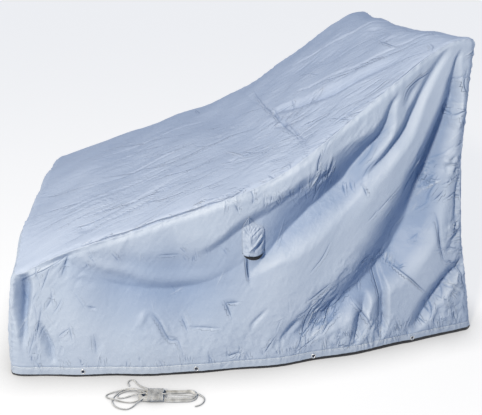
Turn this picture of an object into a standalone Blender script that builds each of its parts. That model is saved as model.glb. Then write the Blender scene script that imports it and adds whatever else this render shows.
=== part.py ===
# Fitted weather cover for a lounge chair: a low front, a long sloping top and a high back.
# Metres. +Z is up, -Y is the low front, +Y the high back, +X the side with the vent.

import math
from collections import namedtuple

import bmesh
import bpy
import numpy as np
from mathutils import Matrix, Vector

# The cover's driving sizes.
LENGTH = 1.336  # along the hem
WIDTH = 0.90  # across the hem, at its corners
TOP_FRONT_Y = -0.620  # front edge of the top
TOP_BACK_Y = 0.568  # back edge of the top
SIDE_SWELL = 0.076  # each side's hem stands out by this at mid length
END_SWELL = 0.016  # the same for the front and back hems
BACK_FLARE_SHARE = 0.65  # the back hangs plumb above this share of its height
BACK_FLARE_CURVE = 1.2  # and flares below it along a curve of this power
BACK_EDGE_DIP = 0.026  # the back's top edge bows forward by this at mid width
CORNER_DROOP = 0.026  # how far the front corner on +X hangs down, and how far round it that shows
CORNER_DROOP_REACH = 0.085
SLOPE_LIFT = 0.012  # the +X edge of the steep slope rides this much above the other edge
SLOPE_LIFT_SHARE = 0.78  # where along the top that is, and over how much of it
SLOPE_LIFT_REACH = 0.17
CLOTH = 0.002
SEAM_GAP = 0.0003
HEM_HEIGHT = 0.028
HEM_LIFT = 0.0010  # keeps the lowest point of the hem on the ground
HEM_WAVE = 0.004  # how far the hem's lower edge rises and falls
HEM_WAVE_RATE = 23  # radians a metre
HEM_WAVE_START = 0.6
HEM_CALM_RATE = 7  # the waves die away and come back at this rate

# A slight unevenness that runs through every piece: sine waves by their radians a metre.
WAVER = 0.0018
Wave = namedtuple("Wave", "along_x along_y along_z start")
WAVES = (
    Wave(0, 21, 9, 0.7),
    Wave(17, 0, -13, 2.1),
    Wave(33, 33, 0, 1.3),
)

# Rounding of the edges: across the width, along the length at each end, and in height.
ROUND_ACROSS = 0.024
ROUND_FRONT = 0.034
ROUND_BACK = 0.020

# A row for each station along the top: its share of the way back, the height there, half the
# width, how far mid width stands above the edges, and the height of the edges' rounding.
Station = namedtuple("Station", "share height half_width crown rounding")
STATIONS = (
    Station(0.00, 0.318, 0.425, 0.034, 0.034),
    Station(0.14, 0.366, 0.436, 0.030, 0.030),
    Station(0.35, 0.441, 0.452, 0.018, 0.026),
    Station(0.52, 0.509, 0.457, 0.008, 0.024),
    Station(0.61, 0.556, 0.450, 0.002, 0.022),
    Station(0.73, 0.656, 0.428, -0.004, 0.020),
    Station(0.82, 0.732, 0.409, -0.006, 0.020),
    Station(0.91, 0.814, 0.392, -0.008, 0.020),
    Station(0.945, 0.835, 0.388, -0.008, 0.018),
    Station(1.00, 0.840, 0.382, -0.010, 0.018),
)

# Folds, as a row each: three points that the crease passes through, its half width and its
# depth, which is negative for a ridge. On a side the points are (y, z), on the top (x, y), on
# the front and back (x, z).
Fold = namedtuple("Fold", "start middle end width depth")
LEFT_FOLDS = (
    Fold((0.520, 0.815), (0.405, 0.675), (0.250, 0.490), 0.018, 0.014),
    Fold((0.545, 0.790), (0.478, 0.665), (0.425, 0.530), 0.021, 0.026),
    Fold((0.425, 0.530), (0.360, 0.390), (0.235, 0.230), 0.030, 0.036),
    Fold((0.235, 0.230), (0.160, 0.185), (0.060, 0.135), 0.030, 0.012),
    Fold((0.352, 0.700), (0.220, 0.550), (0.090, 0.495), 0.020, 0.018),
    Fold((0.090, 0.495), (-0.009, 0.437), (-0.130, 0.350), 0.022, 0.010),
    Fold((0.120, 0.450), (0.070, 0.385), (0.030, 0.330), 0.018, 0.010),
    Fold((0.600, 0.265), (0.510, 0.190), (0.465, 0.040), 0.024, 0.022),
    Fold((0.346, 0.255), (0.352, 0.165), (0.352, 0.020), 0.016, 0.016),
    Fold((0.505, 0.760), (0.345, 0.530), (0.160, 0.330), 0.024, -0.012),
    Fold((0.550, 0.640), (0.470, 0.420), (0.340, 0.220), 0.030, -0.014),
    Fold((0.600, 0.180), (0.570, 0.100), (0.555, 0.010), 0.026, -0.010),
    Fold((0.410, 0.210), (0.410, 0.110), (0.408, 0.010), 0.022, -0.010),
    Fold((-0.520, 0.240), (-0.550, 0.180), (-0.585, 0.115), 0.018, 0.012),
    Fold((-0.552, 0.160), (-0.560, 0.090), (-0.570, 0.020), 0.022, 0.014),
    Fold((-0.400, 0.318), (-0.220, 0.325), (-0.050, 0.318), 0.040, 0.012),
    Fold((-0.280, 0.180), (-0.250, 0.110), (-0.200, 0.060), 0.026, 0.007),
    Fold((0.140, 0.220), (0.160, 0.150), (0.172, 0.080), 0.026, 0.008),
)
RIGHT_FOLDS = (
    Fold((0.520, 0.800), (0.400, 0.640), (0.270, 0.470), 0.024, 0.015),
    Fold((0.540, 0.740), (0.450, 0.500), (0.300, 0.290), 0.032, 0.024),
    Fold((0.340, 0.690), (0.190, 0.540), (0.000, 0.430), 0.026, 0.013),
    Fold((0.480, 0.300), (0.430, 0.180), (0.420, 0.020), 0.028, 0.018),
    Fold((0.560, 0.560), (0.500, 0.360), (0.400, 0.190), 0.032, -0.013),
    Fold((-0.470, 0.260), (-0.500, 0.160), (-0.520, 0.020), 0.026, 0.013),
    Fold((-0.120, 0.300), (-0.100, 0.180), (-0.110, 0.020), 0.034, 0.010),
    Fold((0.140, 0.240), (0.170, 0.140), (0.160, 0.020), 0.034, 0.010),
)
TOP_FOLDS = (
    Fold((-0.300, -0.420), (-0.020, -0.330), (0.300, -0.380), 0.070, 0.008),
    Fold((-0.330, -0.100), (0.000, 0.020), (0.320, 0.010), 0.060, 0.008),
    Fold((0.020, 0.215), (0.120, 0.330), (0.270, 0.490), 0.020, -0.007),
    Fold((-0.280, 0.180), (-0.080, 0.300), (0.060, 0.440), 0.045, 0.008),
    Fold((-0.180, -0.520), (-0.120, -0.400), (-0.100, -0.260), 0.045, -0.006),
)
FRONT_FOLDS = (
    Fold((-0.300, 0.250), (-0.270, 0.150), (-0.280, 0.020), 0.034, 0.011),
    Fold((-0.060, 0.260), (-0.040, 0.140), (-0.070, 0.020), 0.040, 0.008),
    Fold((0.230, 0.250), (0.260, 0.140), (0.250, 0.020), 0.034, 0.011),
)
BACK_FOLDS = (
    Fold((-0.300, 0.780), (-0.260, 0.420), (-0.300, 0.020), 0.040, 0.014),
    Fold((-0.060, 0.700), (-0.080, 0.380), (-0.040, 0.020), 0.050, 0.012),
    Fold((0.140, 0.560), (0.120, 0.300), (0.160, 0.020), 0.042, 0.010),
    Fold((0.310, 0.780), (0.280, 0.400), (0.330, 0.020), 0.038, 0.014),
)

# Eyelets: where they sit along each hem, as y on the sides and x on the front and back.
SIDE_EYELETS = (-0.470, -0.168, 0.160, 0.466)
END_EYELETS = (-0.210, 0.210)
EYELET_HOLE = 0.0040  # radii
EYELET_BARREL = 0.0050
EYELET_FLANGE = 0.0072
EYELET_FLANGE_THICKNESS = 0.0008
EYELET_SIDES = 12
EYELET_CLEARANCE = 0.0004
EYELET_HEIGHT_SHARE = 0.52  # up the hem
EYELET_FLAT_RADIUS = 0.028  # the hem has no folds this near an eyelet
HOLE_CUTTER_DEPTH = 6 * CLOTH

# Vent hood on the +X side: a pocket sewn down along its sides and top, open below.
HOOD_Y = -0.006
HOOD_MOUTH_Z = 0.322
HOOD_TOP_Z = 0.430
HOOD_WIDTH = 0.060
HOOD_TOP_WIDTH_SHARE = 0.16
HOOD_SHOULDER = 0.55  # above this share of its height the hood narrows
HOOD_TAPER = 1.8  # powers that shape it: towards its point, across, and up
HOOD_ROUND_ACROSS = 0.55
HOOD_ROUND_UP = 0.7
HOOD_BULGE = 0.024
HOOD_COLUMNS = 11
HOOD_ROWS = 9
HOOD_REST_GAP = 0.0005
HOOD_SETTLING_ROUNDS = 6  # of the search for the box's points under the hood
HOOD_FLAT_RADIUS = 0.045  # the side has no folds this near the hood's middle

# Draw cord for the hem, wound in a hank that lies on the ground in front of the +X side.
CORD = 0.003
Section = namedtuple("Section", "y x half_width height")
HANK_SECTIONS = (
    Section(-0.322, 0.582, 0.016, 0.009),
    Section(-0.312, 0.584, 0.021, 0.012),
    Section(-0.290, 0.588, 0.026, 0.016),
    Section(-0.262, 0.592, 0.024, 0.016),
    Section(-0.246, 0.594, 0.021, 0.012),
    Section(-0.215, 0.598, 0.025, 0.011),
    Section(-0.188, 0.600, 0.024, 0.010),
    Section(-0.176, 0.600, 0.017, 0.008),
    Section(-0.170, 0.600, 0.008, 0.006),
)
HANK_SIDES = 12
LOOP_ROUTE = (
    (0.591, -0.3226, 0.0042),
    (0.592, -0.3264, 0.0038),
    (0.598, -0.3350, 0.0026),
    (0.609, -0.3470, 0.0018),
    (0.615, -0.3600, 0.0018),
    (0.612, -0.3740, 0.0018),
    (0.602, -0.3860, 0.0018),
    (0.588, -0.3930, 0.0018),
    (0.572, -0.3920, 0.0018),
    (0.558, -0.3840, 0.0018),
    (0.549, -0.3700, 0.0018),
    (0.547, -0.3550, 0.0018),
    (0.553, -0.3420, 0.0018),
    (0.565, -0.3340, 0.0026),
    (0.572, -0.3264, 0.0038),
    (0.573, -0.3226, 0.0042),
)
TAIL_ROUTE = (
    (0.602, -0.1693, 0.0032),
    (0.6024, -0.1660, 0.0029),
    (0.605, -0.1615, 0.0022),
    (0.611, -0.1580, 0.0018),
    (0.621, -0.1580, 0.0018),
    (0.630, -0.1630, 0.0018),
    (0.636, -0.1720, 0.0018),
    (0.638, -0.1830, 0.0018),
)
ROUTE_POINTS_BETWEEN = 3

HALF_LENGTH = LENGTH / 2
HALF_WIDTH = WIDTH / 2
SLOPE_STEP = 0.0005
FOLD_FADE = 0.035  # folds come up to full depth this far from a seam
FOLD_SAMPLES = 21
FOLD_END_SHARE = 0.06  # a fold's ends keep the depth that it has this far along it
LENGTH_SPACES = 36  # of the grid, between the rounded edges
WIDTH_SPACES = 11
WALL_ROWS = 18
FRONT_ROWS = 9
SHARP_ANGLE = math.radians(50)
MERGE_DISTANCE = 0.00005


def station_value(share, column):
    """A station column read along the top by a smooth curve through its rows."""
    shares = np.array([row.share for row in STATIONS])
    values = np.array([getattr(row, column) for row in STATIONS])
    slopes = np.gradient(values, shares)
    share = np.clip(share, 0.0, 1.0)
    left = np.clip(np.searchsorted(shares, share) - 1, 0, len(shares) - 2)
    span = shares[left + 1] - shares[left]
    t = (share - shares[left]) / span
    return (
        (1 + 2 * t) * (1 - t) ** 2 * values[left]
        + t * (1 - t) ** 2 * span * slopes[left]
        + t**2 * (3 - 2 * t) * values[left + 1]
        + t**2 * (t - 1) * span * slopes[left + 1]
    )


def smooth_step(distance, reach):
    t = np.clip(distance / reach, 0.0, 1.0)
    return t * t * (3 - 2 * t)


def hung(x, y, rise):
    """Points of a sharp-edged box, with rise the share of its height, set on the cover's form."""
    inner_x = np.clip(x, ROUND_ACROSS - HALF_WIDTH, HALF_WIDTH - ROUND_ACROSS)
    inner_y = np.clip(y, ROUND_FRONT - HALF_LENGTH, HALF_LENGTH - ROUND_BACK)
    inner_share = (inner_y + HALF_LENGTH) / LENGTH
    height = station_value(inner_share, "height")
    rounding = station_value(inner_share, "rounding")
    inner_z = np.minimum(rise * height, height - rounding)
    round_y = np.where(y < 0, ROUND_FRONT, ROUND_BACK)
    across = (x - inner_x) / ROUND_ACROSS
    along = (y - inner_y) / round_y
    upward = (rise * height - inner_z) / rounding
    reach = np.sqrt(across**2 + along**2 + upward**2)
    x = inner_x + ROUND_ACROSS * across / reach
    y = inner_y + round_y * along / reach
    z = inner_z + rounding * upward / reach

    share = (y + HALF_LENGTH) / LENGTH
    side = x / HALF_WIDTH
    rise = z / height
    low = 1 - rise
    hem_half = HALF_WIDTH + SIDE_SWELL * np.sin(np.pi * np.clip(share, 0, 1))
    half = hem_half * low + station_value(share, "half_width") * rise
    middle = 1 - side**2
    front = -HALF_LENGTH * low + TOP_FRONT_Y * rise - END_SWELL * middle * low
    back_low = np.clip(1 - rise / BACK_FLARE_SHARE, 0, 1) ** BACK_FLARE_CURVE
    back = TOP_BACK_Y + (HALF_LENGTH - TOP_BACK_Y) * back_low + END_SWELL * middle * low
    back = back - BACK_EDGE_DIP * middle * rise**2
    crown = station_value(share, "crown") * middle * rise**2
    from_corner = np.hypot(HALF_WIDTH - x, HALF_LENGTH + y)
    droop = CORNER_DROOP * np.exp(-((from_corner / CORNER_DROOP_REACH) ** 2)) * rise**2
    lift = SLOPE_LIFT * np.exp(-(((share - SLOPE_LIFT_SHARE) / SLOPE_LIFT_REACH) ** 2))
    lift = lift * (0.5 + 0.5 * side) * rise**2
    z = z + crown - droop + lift
    return np.stack([side * half, front + (back - front) * share, z], axis=-1)


def fold_relief(across, up, folds):
    """Depth of the folds at points of a panel, negative in a trough."""
    relief = np.zeros_like(across)
    t = np.linspace(0, 1, FOLD_SAMPLES)
    for fold in folds:
        start, middle, end = (np.array(point) for point in fold[:3])
        bend = 2 * middle - (start + end) / 2
        line = (
            np.outer((1 - t) ** 2, start)
            + np.outer(2 * t * (1 - t), bend)
            + np.outer(t**2, end)
        )
        offsets = np.stack([across, up], axis=-1)[..., None, :] - line
        distances = np.linalg.norm(offsets, axis=-1)
        nearest = distances.argmin(axis=-1)
        fade = np.sqrt(np.sin(np.pi * np.clip(t[nearest], FOLD_END_SHARE, 1 - FOLD_END_SHARE)))
        relief -= fold.depth * fade * np.exp(-((distances.min(axis=-1) / fold.width) ** 2))
    return relief


def seam_waver(points):
    """The unevenness that every piece shares, so that neighbours meet along their seams."""
    waver = np.zeros_like(points[..., 0])
    for wave in WAVES:
        waver += WAVER * np.sin(points @ np.array(wave[:3]) + wave.start)
    return waver


def flat_near(along, up, spots, radius):
    """A factor that takes folds away inside a radius of the spots and gives them back outside."""
    distances = [np.hypot(along - spot[0], up - spot[1]) for spot in spots]
    return smooth_step(np.min(distances, axis=0) - radius, radius)


def panel_relief(points, kind, to_seam):
    x, y, z = points[..., 0], points[..., 1], points[..., 2]
    side_eyelets = [(place, HEM_HEIGHT / 2) for place in SIDE_EYELETS]
    end_eyelets = [(place, HEM_HEIGHT / 2) for place in END_EYELETS]
    if kind == "left":
        folds = fold_relief(y, z, LEFT_FOLDS)
        hood_middle = (HOOD_Y, (HOOD_MOUTH_Z + HOOD_TOP_Z) / 2)
        folds *= flat_near(y, z, [hood_middle], HOOD_FLAT_RADIUS)
    elif kind == "right":
        folds = fold_relief(y, z, RIGHT_FOLDS)
    elif kind == "top":
        folds = fold_relief(x, y, TOP_FOLDS)
    elif kind == "front":
        folds = fold_relief(x, z, FRONT_FOLDS)
    else:
        folds = fold_relief(x, z, BACK_FOLDS)
    if kind in ("left", "right"):
        folds *= flat_near(y, z, side_eyelets, EYELET_FLAT_RADIUS)
    if kind in ("front", "back"):
        folds *= flat_near(x, z, end_eyelets, EYELET_FLAT_RADIUS)
    return folds * smooth_step(to_seam, FOLD_FADE) + seam_waver(points)


def box_point(kind, along, rise):
    """The sharp-edged box's point for a panel's own two coordinates, and which way is out."""
    if kind == "left":
        return np.full_like(along, HALF_WIDTH), along, rise, 1
    if kind == "right":
        return np.full_like(along, -HALF_WIDTH), along, rise, -1
    if kind == "front":
        return along, np.full_like(along, -HALF_LENGTH), rise, 1
    if kind == "back":
        return along, np.full_like(along, HALF_LENGTH), rise, -1
    return along, rise, np.ones_like(along), 1


def cloth_surface(kind, along, rise):
    """Outer points of a panel and the directions that its thickness runs in."""
    x, y, top_rise, out = box_point(kind, along, rise)
    points = hung(x, y, top_rise)
    tangents = []
    for step in ((SLOPE_STEP, 0), (0, SLOPE_STEP)):
        ahead = hung(*box_point(kind, along + step[0], rise + step[1])[:3])
        behind = hung(*box_point(kind, along - step[0], rise - step[1])[:3])
        tangents.append(ahead - behind)
    normals = out * np.cross(*tangents)
    normals /= np.linalg.norm(normals, axis=-1, keepdims=True)
    height = station_value((y + HALF_LENGTH) / LENGTH, "height")
    edges = {
        "left": (HALF_LENGTH - np.abs(y), (1 - top_rise) * height),
        "right": (HALF_LENGTH - np.abs(y), (1 - top_rise) * height),
        "front": (HALF_WIDTH - np.abs(x), (1 - top_rise) * height),
        "back": (HALF_WIDTH - np.abs(x), (1 - top_rise) * height),
        "top": (HALF_WIDTH - np.abs(x), HALF_LENGTH - np.abs(y)),
    }
    to_seam = np.minimum(*edges[kind])
    relief = panel_relief(points, kind, to_seam)
    return points + normals * relief[..., None], normals


def edge_steps(half, rounding_low, rounding_high, anchors, spaces):
    """Grid lines from one seam to the other: two in each rounded edge, the rest even between."""
    low = [-half + SEAM_GAP, -half + 0.5 * rounding_low, -half + rounding_low]
    high = [half - rounding_high, half - 0.5 * rounding_high, half - SEAM_GAP]
    marks = [0.0]
    places = [low[-1]]
    for anchor in anchors:
        nearest = math.floor((anchor - low[-1]) / (high[0] - low[-1]) * spaces) + 0.5
        marks.append(nearest)
        places.append(anchor)
    marks.append(float(spaces))
    places.append(high[0])
    inside = np.interp(np.arange(1, spaces), marks, places)
    return np.array(low + list(inside) + high)


def rise_steps(along, kind, low_z, spaces):
    """Height shares for a panel's rows, from its lower edge up to the seam at the top."""
    y = box_point(kind, along, np.zeros_like(along))[1]
    share = (y + HALF_LENGTH) / LENGTH
    height = station_value(share, "height")
    rounding = station_value(share, "rounding")
    straight = (height - rounding - low_z) / spaces
    rows = [low_z + straight * row for row in range(spaces + 1)]
    rows += [height - 0.5 * rounding, height - SEAM_GAP]
    return np.array(rows) / height


def cloth_solid(name, outer, normals, material, collection):
    """A sheet of the cloth's thickness from a grid of outer points."""
    rows, columns = outer.shape[:2]
    mesh_builder = bmesh.new()
    bmesh.ops.create_grid(mesh_builder, x_segments=columns - 1, y_segments=rows - 1, size=1)
    direction = mesh_builder.verts.layers.float_vector.new("inward")
    for vertex in mesh_builder.verts:
        column = round((vertex.co.x + 1) / 2 * (columns - 1))
        row = round((vertex.co.y + 1) / 2 * (rows - 1))
        vertex.co = Vector(outer[row, column])
        vertex[direction] = Vector(-CLOTH * normals[row, column])
    made = bmesh.ops.extrude_face_region(mesh_builder, geom=mesh_builder.faces[:])
    for element in made["geom"]:
        if isinstance(element, bmesh.types.BMVert):
            element.co += element[direction]
    bmesh.ops.recalc_face_normals(mesh_builder, faces=mesh_builder.faces)
    mesh_builder.verts.layers.float_vector.remove(direction)
    return object_from(mesh_builder, name, material, collection)


def object_from(mesh_builder, name, material, collection):
    mesh = bpy.data.meshes.new(name)
    mesh_builder.to_mesh(mesh)
    mesh_builder.free()
    mesh.shade_smooth()
    mesh.set_sharp_from_angle(angle=SHARP_ANGLE)
    mesh.materials.append(material)
    made = bpy.data.objects.new(name, mesh)
    collection.objects.link(made)
    return made


def plain_material(name, color, roughness, metallic=0.0):
    material = bpy.data.materials.new(name)
    material.use_nodes = True
    shader = material.node_tree.nodes["Principled BSDF"]
    shader.inputs["Base Color"].default_value = (*color, 1)
    shader.inputs["Roughness"].default_value = roughness
    shader.inputs["Metallic"].default_value = metallic
    material.diffuse_color = (*color, 1)
    return material


def wall(kind, name, columns, row_count, material, collection):
    """One of the four upright panels, from just above its hem to the seam at the top."""
    rises = rise_steps(columns, kind, HEM_HEIGHT + SEAM_GAP / 2, row_count)
    along = np.broadcast_to(columns, rises.shape)
    outer, normals = cloth_surface(kind, along, rises)
    return cloth_solid(name, outer, normals, material, collection)


def hem(kind, name, columns, eyelets, material, parts, cutters):
    """The turned hem along one side, and the place and facing of each eyelet in it."""
    y = box_point(kind, columns, np.zeros_like(columns))[1]
    height = station_value((y + HALF_LENGTH) / LENGTH, "height")
    waves = 0.5 - 0.5 * np.cos(HEM_WAVE_RATE * columns + HEM_WAVE_START)
    low = HEM_LIFT + HEM_WAVE * waves * np.cos(HEM_CALM_RATE * columns) ** 2
    high = np.full_like(columns, HEM_HEIGHT - SEAM_GAP / 2)
    rises = np.stack([low, high]) / height
    along = np.broadcast_to(columns, rises.shape)
    outer, normals = cloth_surface(kind, along, rises)
    strip = cloth_solid(name, outer, normals, material, parts)
    places = []
    for eyelet in eyelets:
        column = int(np.searchsorted(columns, eyelet)) - 1
        corners = outer[:, column : column + 2]
        share = (eyelet - columns[column]) / (columns[column + 1] - columns[column])
        lower, upper = corners[:, 0] * (1 - share) + corners[:, 1] * share
        face = np.cross(corners[0, 1] - corners[0, 0], upper - lower)
        face /= np.linalg.norm(face)
        face *= np.sign(face @ normals[0, column])
        centre = lower + (upper - lower) * EYELET_HEIGHT_SHARE - face * CLOTH / 2
        places.append((Vector(centre), Vector(face)))
    cutter_builder = bmesh.new()
    for centre, face in places:
        bmesh.ops.create_cone(
            cutter_builder,
            cap_ends=True,
            segments=EYELET_SIDES,
            radius1=EYELET_BARREL + EYELET_CLEARANCE,
            radius2=EYELET_BARREL + EYELET_CLEARANCE,
            depth=HOLE_CUTTER_DEPTH,
            matrix=facing(centre, face),
        )
    cutter = object_from(cutter_builder, f"cut_{name}", material, cutters)
    cutter.hide_render = True
    cutter.display_type = "WIRE"
    cut = strip.modifiers.new("eyelet_holes", "BOOLEAN")
    cut.operation = "DIFFERENCE"
    cut.solver = "EXACT"
    cut.object = cutter
    return places


def facing(centre, face):
    turn = face.to_track_quat("Z", "Y").to_matrix().to_4x4()
    return Matrix.Translation(centre) @ turn


def eyelet_ring(name, centre, face, material, collection):
    """A pressed ring with a flange on each face of the hem."""
    groove = CLOTH / 2 + EYELET_CLEARANCE
    rim = groove + EYELET_FLANGE_THICKNESS
    outline = (
        (EYELET_HOLE, rim),
        (EYELET_FLANGE, rim),
        (EYELET_FLANGE, groove),
        (EYELET_BARREL, groove),
        (EYELET_BARREL, -groove),
        (EYELET_FLANGE, -groove),
        (EYELET_FLANGE, -rim),
        (EYELET_HOLE, -rim),
    )
    builder = bmesh.new()
    points = [builder.verts.new((radius, 0, z)) for radius, z in outline]
    for point, following in zip(points, points[1:] + points[:1]):
        builder.edges.new((point, following))
    ring = object_from(builder, name, material, collection)
    turn = ring.modifiers.new("turn", "SCREW")
    turn.axis = "Z"
    turn.angle = 2 * math.pi
    turn.steps = EYELET_SIDES
    turn.render_steps = EYELET_SIDES
    turn.use_merge_vertices = True
    turn.merge_threshold = MERGE_DISTANCE
    ring.matrix_world = facing(centre, face)
    return ring


def vent_hood(name, material, collection):
    """A hooded pocket that stands out over the side and opens downwards."""
    across = np.linspace(-1, 1, HOOD_COLUMNS)
    up = np.linspace(0, 1, HOOD_ROWS)
    side, rise = np.meshgrid(across, up)
    narrowing = np.clip((rise - HOOD_SHOULDER) / (1 - HOOD_SHOULDER), 0, 1)
    width = 1 - (1 - HOOD_TOP_WIDTH_SHARE) * narrowing**HOOD_TAPER
    y = HOOD_Y + HOOD_WIDTH / 2 * side * width
    z = HOOD_MOUTH_Z + (HOOD_TOP_Z - HOOD_MOUTH_Z) * rise
    along = y.copy()
    for _ in range(HOOD_SETTLING_ROUNDS):
        rise_share = z / station_value((along + HALF_LENGTH) / LENGTH, "height")
        along += y - hung(np.full_like(along, HALF_WIDTH), along, rise_share)[..., 1]
    base, normals = cloth_surface("left", along, rise_share)
    stand = HOOD_BULGE * (1 - side**2) ** HOOD_ROUND_ACROSS
    stand *= np.cos(np.pi / 2 * rise) ** HOOD_ROUND_UP
    outer = base + normals * (CLOTH + HOOD_REST_GAP + stand)[..., None]
    return cloth_solid(name, outer, normals, material, collection)


def smooth_route(points, steps):
    """A smooth curve through the route's own points, as closely spaced points."""
    points = [Vector(point) for point in points]
    ends = [2 * points[0] - points[1]] + points + [2 * points[-1] - points[-2]]
    route = []
    for before, start, end, after in zip(ends, ends[1:], ends[2:], ends[3:]):
        for step in range(steps):
            t = step / steps
            route.append(
                0.5
                * (
                    2 * start
                    + (end - before) * t
                    + (2 * before - 5 * start + 4 * end - after) * t**2
                    + (3 * start - before - 3 * end + after) * t**3
                )
            )
    route.append(points[-1])
    return route


def cord_run(name, route, material, collection):
    curve = bpy.data.curves.new(name, "CURVE")
    curve.dimensions = "3D"
    curve.bevel_depth = CORD / 2
    curve.bevel_resolution = 2
    curve.use_fill_caps = True
    spline = curve.splines.new("POLY")
    points = smooth_route(route, ROUTE_POINTS_BETWEEN)
    spline.points.add(len(points) - 1)
    for point, place in zip(spline.points, points):
        point.co = (*place, 1)
    curve.materials.append(material)
    run = bpy.data.objects.new(name, curve)
    collection.objects.link(run)
    return run


def cord_hank(name, material, collection):
    """The wound cord's outer form: a wrapped waist and a flat bundle of runs."""
    builder = bmesh.new()
    rings = []
    for section in HANK_SECTIONS:
        stand = Matrix.Translation((section.x, section.y, section.height / 2))
        flat = Matrix.Diagonal((section.half_width, 1, section.height / 2, 1))
        upright = Matrix.Rotation(math.pi / 2, 4, "X")
        made = bmesh.ops.create_circle(
            builder, cap_ends=False, segments=HANK_SIDES, radius=1, matrix=stand @ flat @ upright
        )
        rings.append(made["verts"])
    for ring, following in zip(rings, rings[1:]):
        loops = {edge for vertex in ring + following for edge in vertex.link_edges}
        loops = [
            edge
            for edge in loops
            if set(edge.verts) <= set(ring) or set(edge.verts) <= set(following)
        ]
        bmesh.ops.bridge_loops(builder, edges=loops)
    for ring in (rings[0], rings[-1]):
        bmesh.ops.contextual_create(builder, geom=ring)
    bmesh.ops.recalc_face_normals(builder, faces=builder.faces)
    return object_from(builder, name, material, collection)


def main():
    for old in list(bpy.data.objects):
        bpy.data.objects.remove(old, do_unlink=True)
    parts = bpy.data.collections.new("lounge_chair_cover")
    cutters = bpy.data.collections.new("cutters")
    for collection in (parts, cutters):
        bpy.context.scene.collection.children.link(collection)

    # Neighbours share their grid lines, so that they meet point for point along a seam.
    side_columns = edge_steps(HALF_LENGTH, ROUND_FRONT, ROUND_BACK, SIDE_EYELETS, LENGTH_SPACES)
    end_columns = edge_steps(HALF_WIDTH, ROUND_ACROSS, ROUND_ACROSS, END_EYELETS, WIDTH_SPACES)

    top_cloth = plain_material("top_cloth", (0.37, 0.46, 0.64), 0.42)
    side_cloth = plain_material("side_cloth", (0.41, 0.50, 0.65), 0.45)
    walls = (
        ("left", "side_panel_left", side_columns, WALL_ROWS, SIDE_EYELETS),
        ("right", "side_panel_right", side_columns, WALL_ROWS, SIDE_EYELETS),
        ("front", "front_panel", end_columns, FRONT_ROWS, END_EYELETS),
        ("back", "back_panel", end_columns, WALL_ROWS, END_EYELETS),
    )
    for kind, name, columns, row_count, eyelets in walls:
        cloth = side_cloth.copy()
        cloth.name = f"{name}_cloth"
        wall(kind, name, columns, row_count, cloth, parts)
        hem_cloth = side_cloth.copy()
        hem_cloth.name = f"hem_{kind}_cloth"
        places = hem(kind, f"hem_{kind}", columns, eyelets, hem_cloth, parts, cutters)
        for number, (centre, face) in enumerate(places, start=1):
            metal = plain_material(f"eyelet_{kind}_{number}_metal", (0.72, 0.73, 0.75), 0.3, 1.0)
            eyelet_ring(f"eyelet_{kind}_{number}", centre, face, metal, parts)

    along, rows = np.meshgrid(end_columns, side_columns)
    outer, normals = cloth_surface("top", along, rows)
    cloth_solid("top_panel", outer, normals, top_cloth, parts)

    vent_hood("vent_hood_left", plain_material("vent_cloth", (0.43, 0.52, 0.66), 0.45), parts)

    cord_hank("draw_cord_hank", plain_material("hank_cord", (0.78, 0.77, 0.74), 0.8), parts)
    for name, route in (("draw_cord_loop", LOOP_ROUTE), ("draw_cord_tail", TAIL_ROUTE)):
        cord_run(name, route, plain_material(f"{name}_cord", (0.78, 0.77, 0.74), 0.8), parts)


main()
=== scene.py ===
import math

import bmesh
import bpy
import numpy as np
from mathutils import Matrix, Vector


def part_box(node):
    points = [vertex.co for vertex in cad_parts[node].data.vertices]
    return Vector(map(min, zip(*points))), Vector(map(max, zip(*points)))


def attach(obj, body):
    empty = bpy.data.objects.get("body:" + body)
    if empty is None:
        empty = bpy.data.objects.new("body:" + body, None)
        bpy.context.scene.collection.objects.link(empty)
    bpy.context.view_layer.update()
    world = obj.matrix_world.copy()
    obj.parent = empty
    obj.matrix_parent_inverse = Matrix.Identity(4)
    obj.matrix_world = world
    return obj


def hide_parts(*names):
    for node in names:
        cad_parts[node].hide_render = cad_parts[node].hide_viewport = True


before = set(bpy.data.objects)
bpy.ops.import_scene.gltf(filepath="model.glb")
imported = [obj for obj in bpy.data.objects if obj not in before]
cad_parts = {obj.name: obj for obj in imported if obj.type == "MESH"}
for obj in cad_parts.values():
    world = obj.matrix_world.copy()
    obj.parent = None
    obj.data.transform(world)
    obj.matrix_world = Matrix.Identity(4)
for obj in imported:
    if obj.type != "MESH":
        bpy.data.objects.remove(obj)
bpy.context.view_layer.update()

mm = 0.001


def addObject(name, data):
    made = bpy.data.objects.new(name, data)
    bpy.context.scene.collection.objects.link(made)
    return made


# ---- camera, at the angle of the photograph
cameraView = {
    "place": (1.6948, -0.2340, 1.0263),
    "azimuth": 81.0125,
    "downward": 24.4483,
    "lens": 41.25,
}


def addCamera(view):
    lens = bpy.data.cameras.new("coverCamera")
    lens.lens = view["lens"]
    camera = addObject("coverCamera", lens)
    camera.location = view["place"]
    camera.rotation_euler = (math.radians(90 - view["downward"]), 0, math.radians(view["azimuth"]))
    bpy.context.scene.camera = camera


addCamera(cameraView)
print("camera placed")


# ---- smooth lines and smooth unevenness, used by every piece
def smoothLine(rows, spacing):
    # a curve through the rows (their first columns are the place), as rows about spacing apart
    rows = np.array(rows, float)
    ends = np.vstack([2 * rows[0] - rows[1], rows, 2 * rows[-1] - rows[-2]])
    line = []
    for i in range(1, len(ends) - 2):
        before, start, end, after = ends[i - 1:i + 3]
        steps = max(1, math.ceil(np.linalg.norm((end - start)[:3]) / spacing))
        t = np.linspace(0, 1, steps, endpoint=False)[:, None]
        line.append(0.5 * (2 * start + (end - before) * t
                           + (2 * before - 5 * start + 4 * end - after) * t**2
                           + (3 * start - before - 3 * end + after) * t**3))
    line.append(rows[-1:])
    return np.vstack(line)


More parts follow.
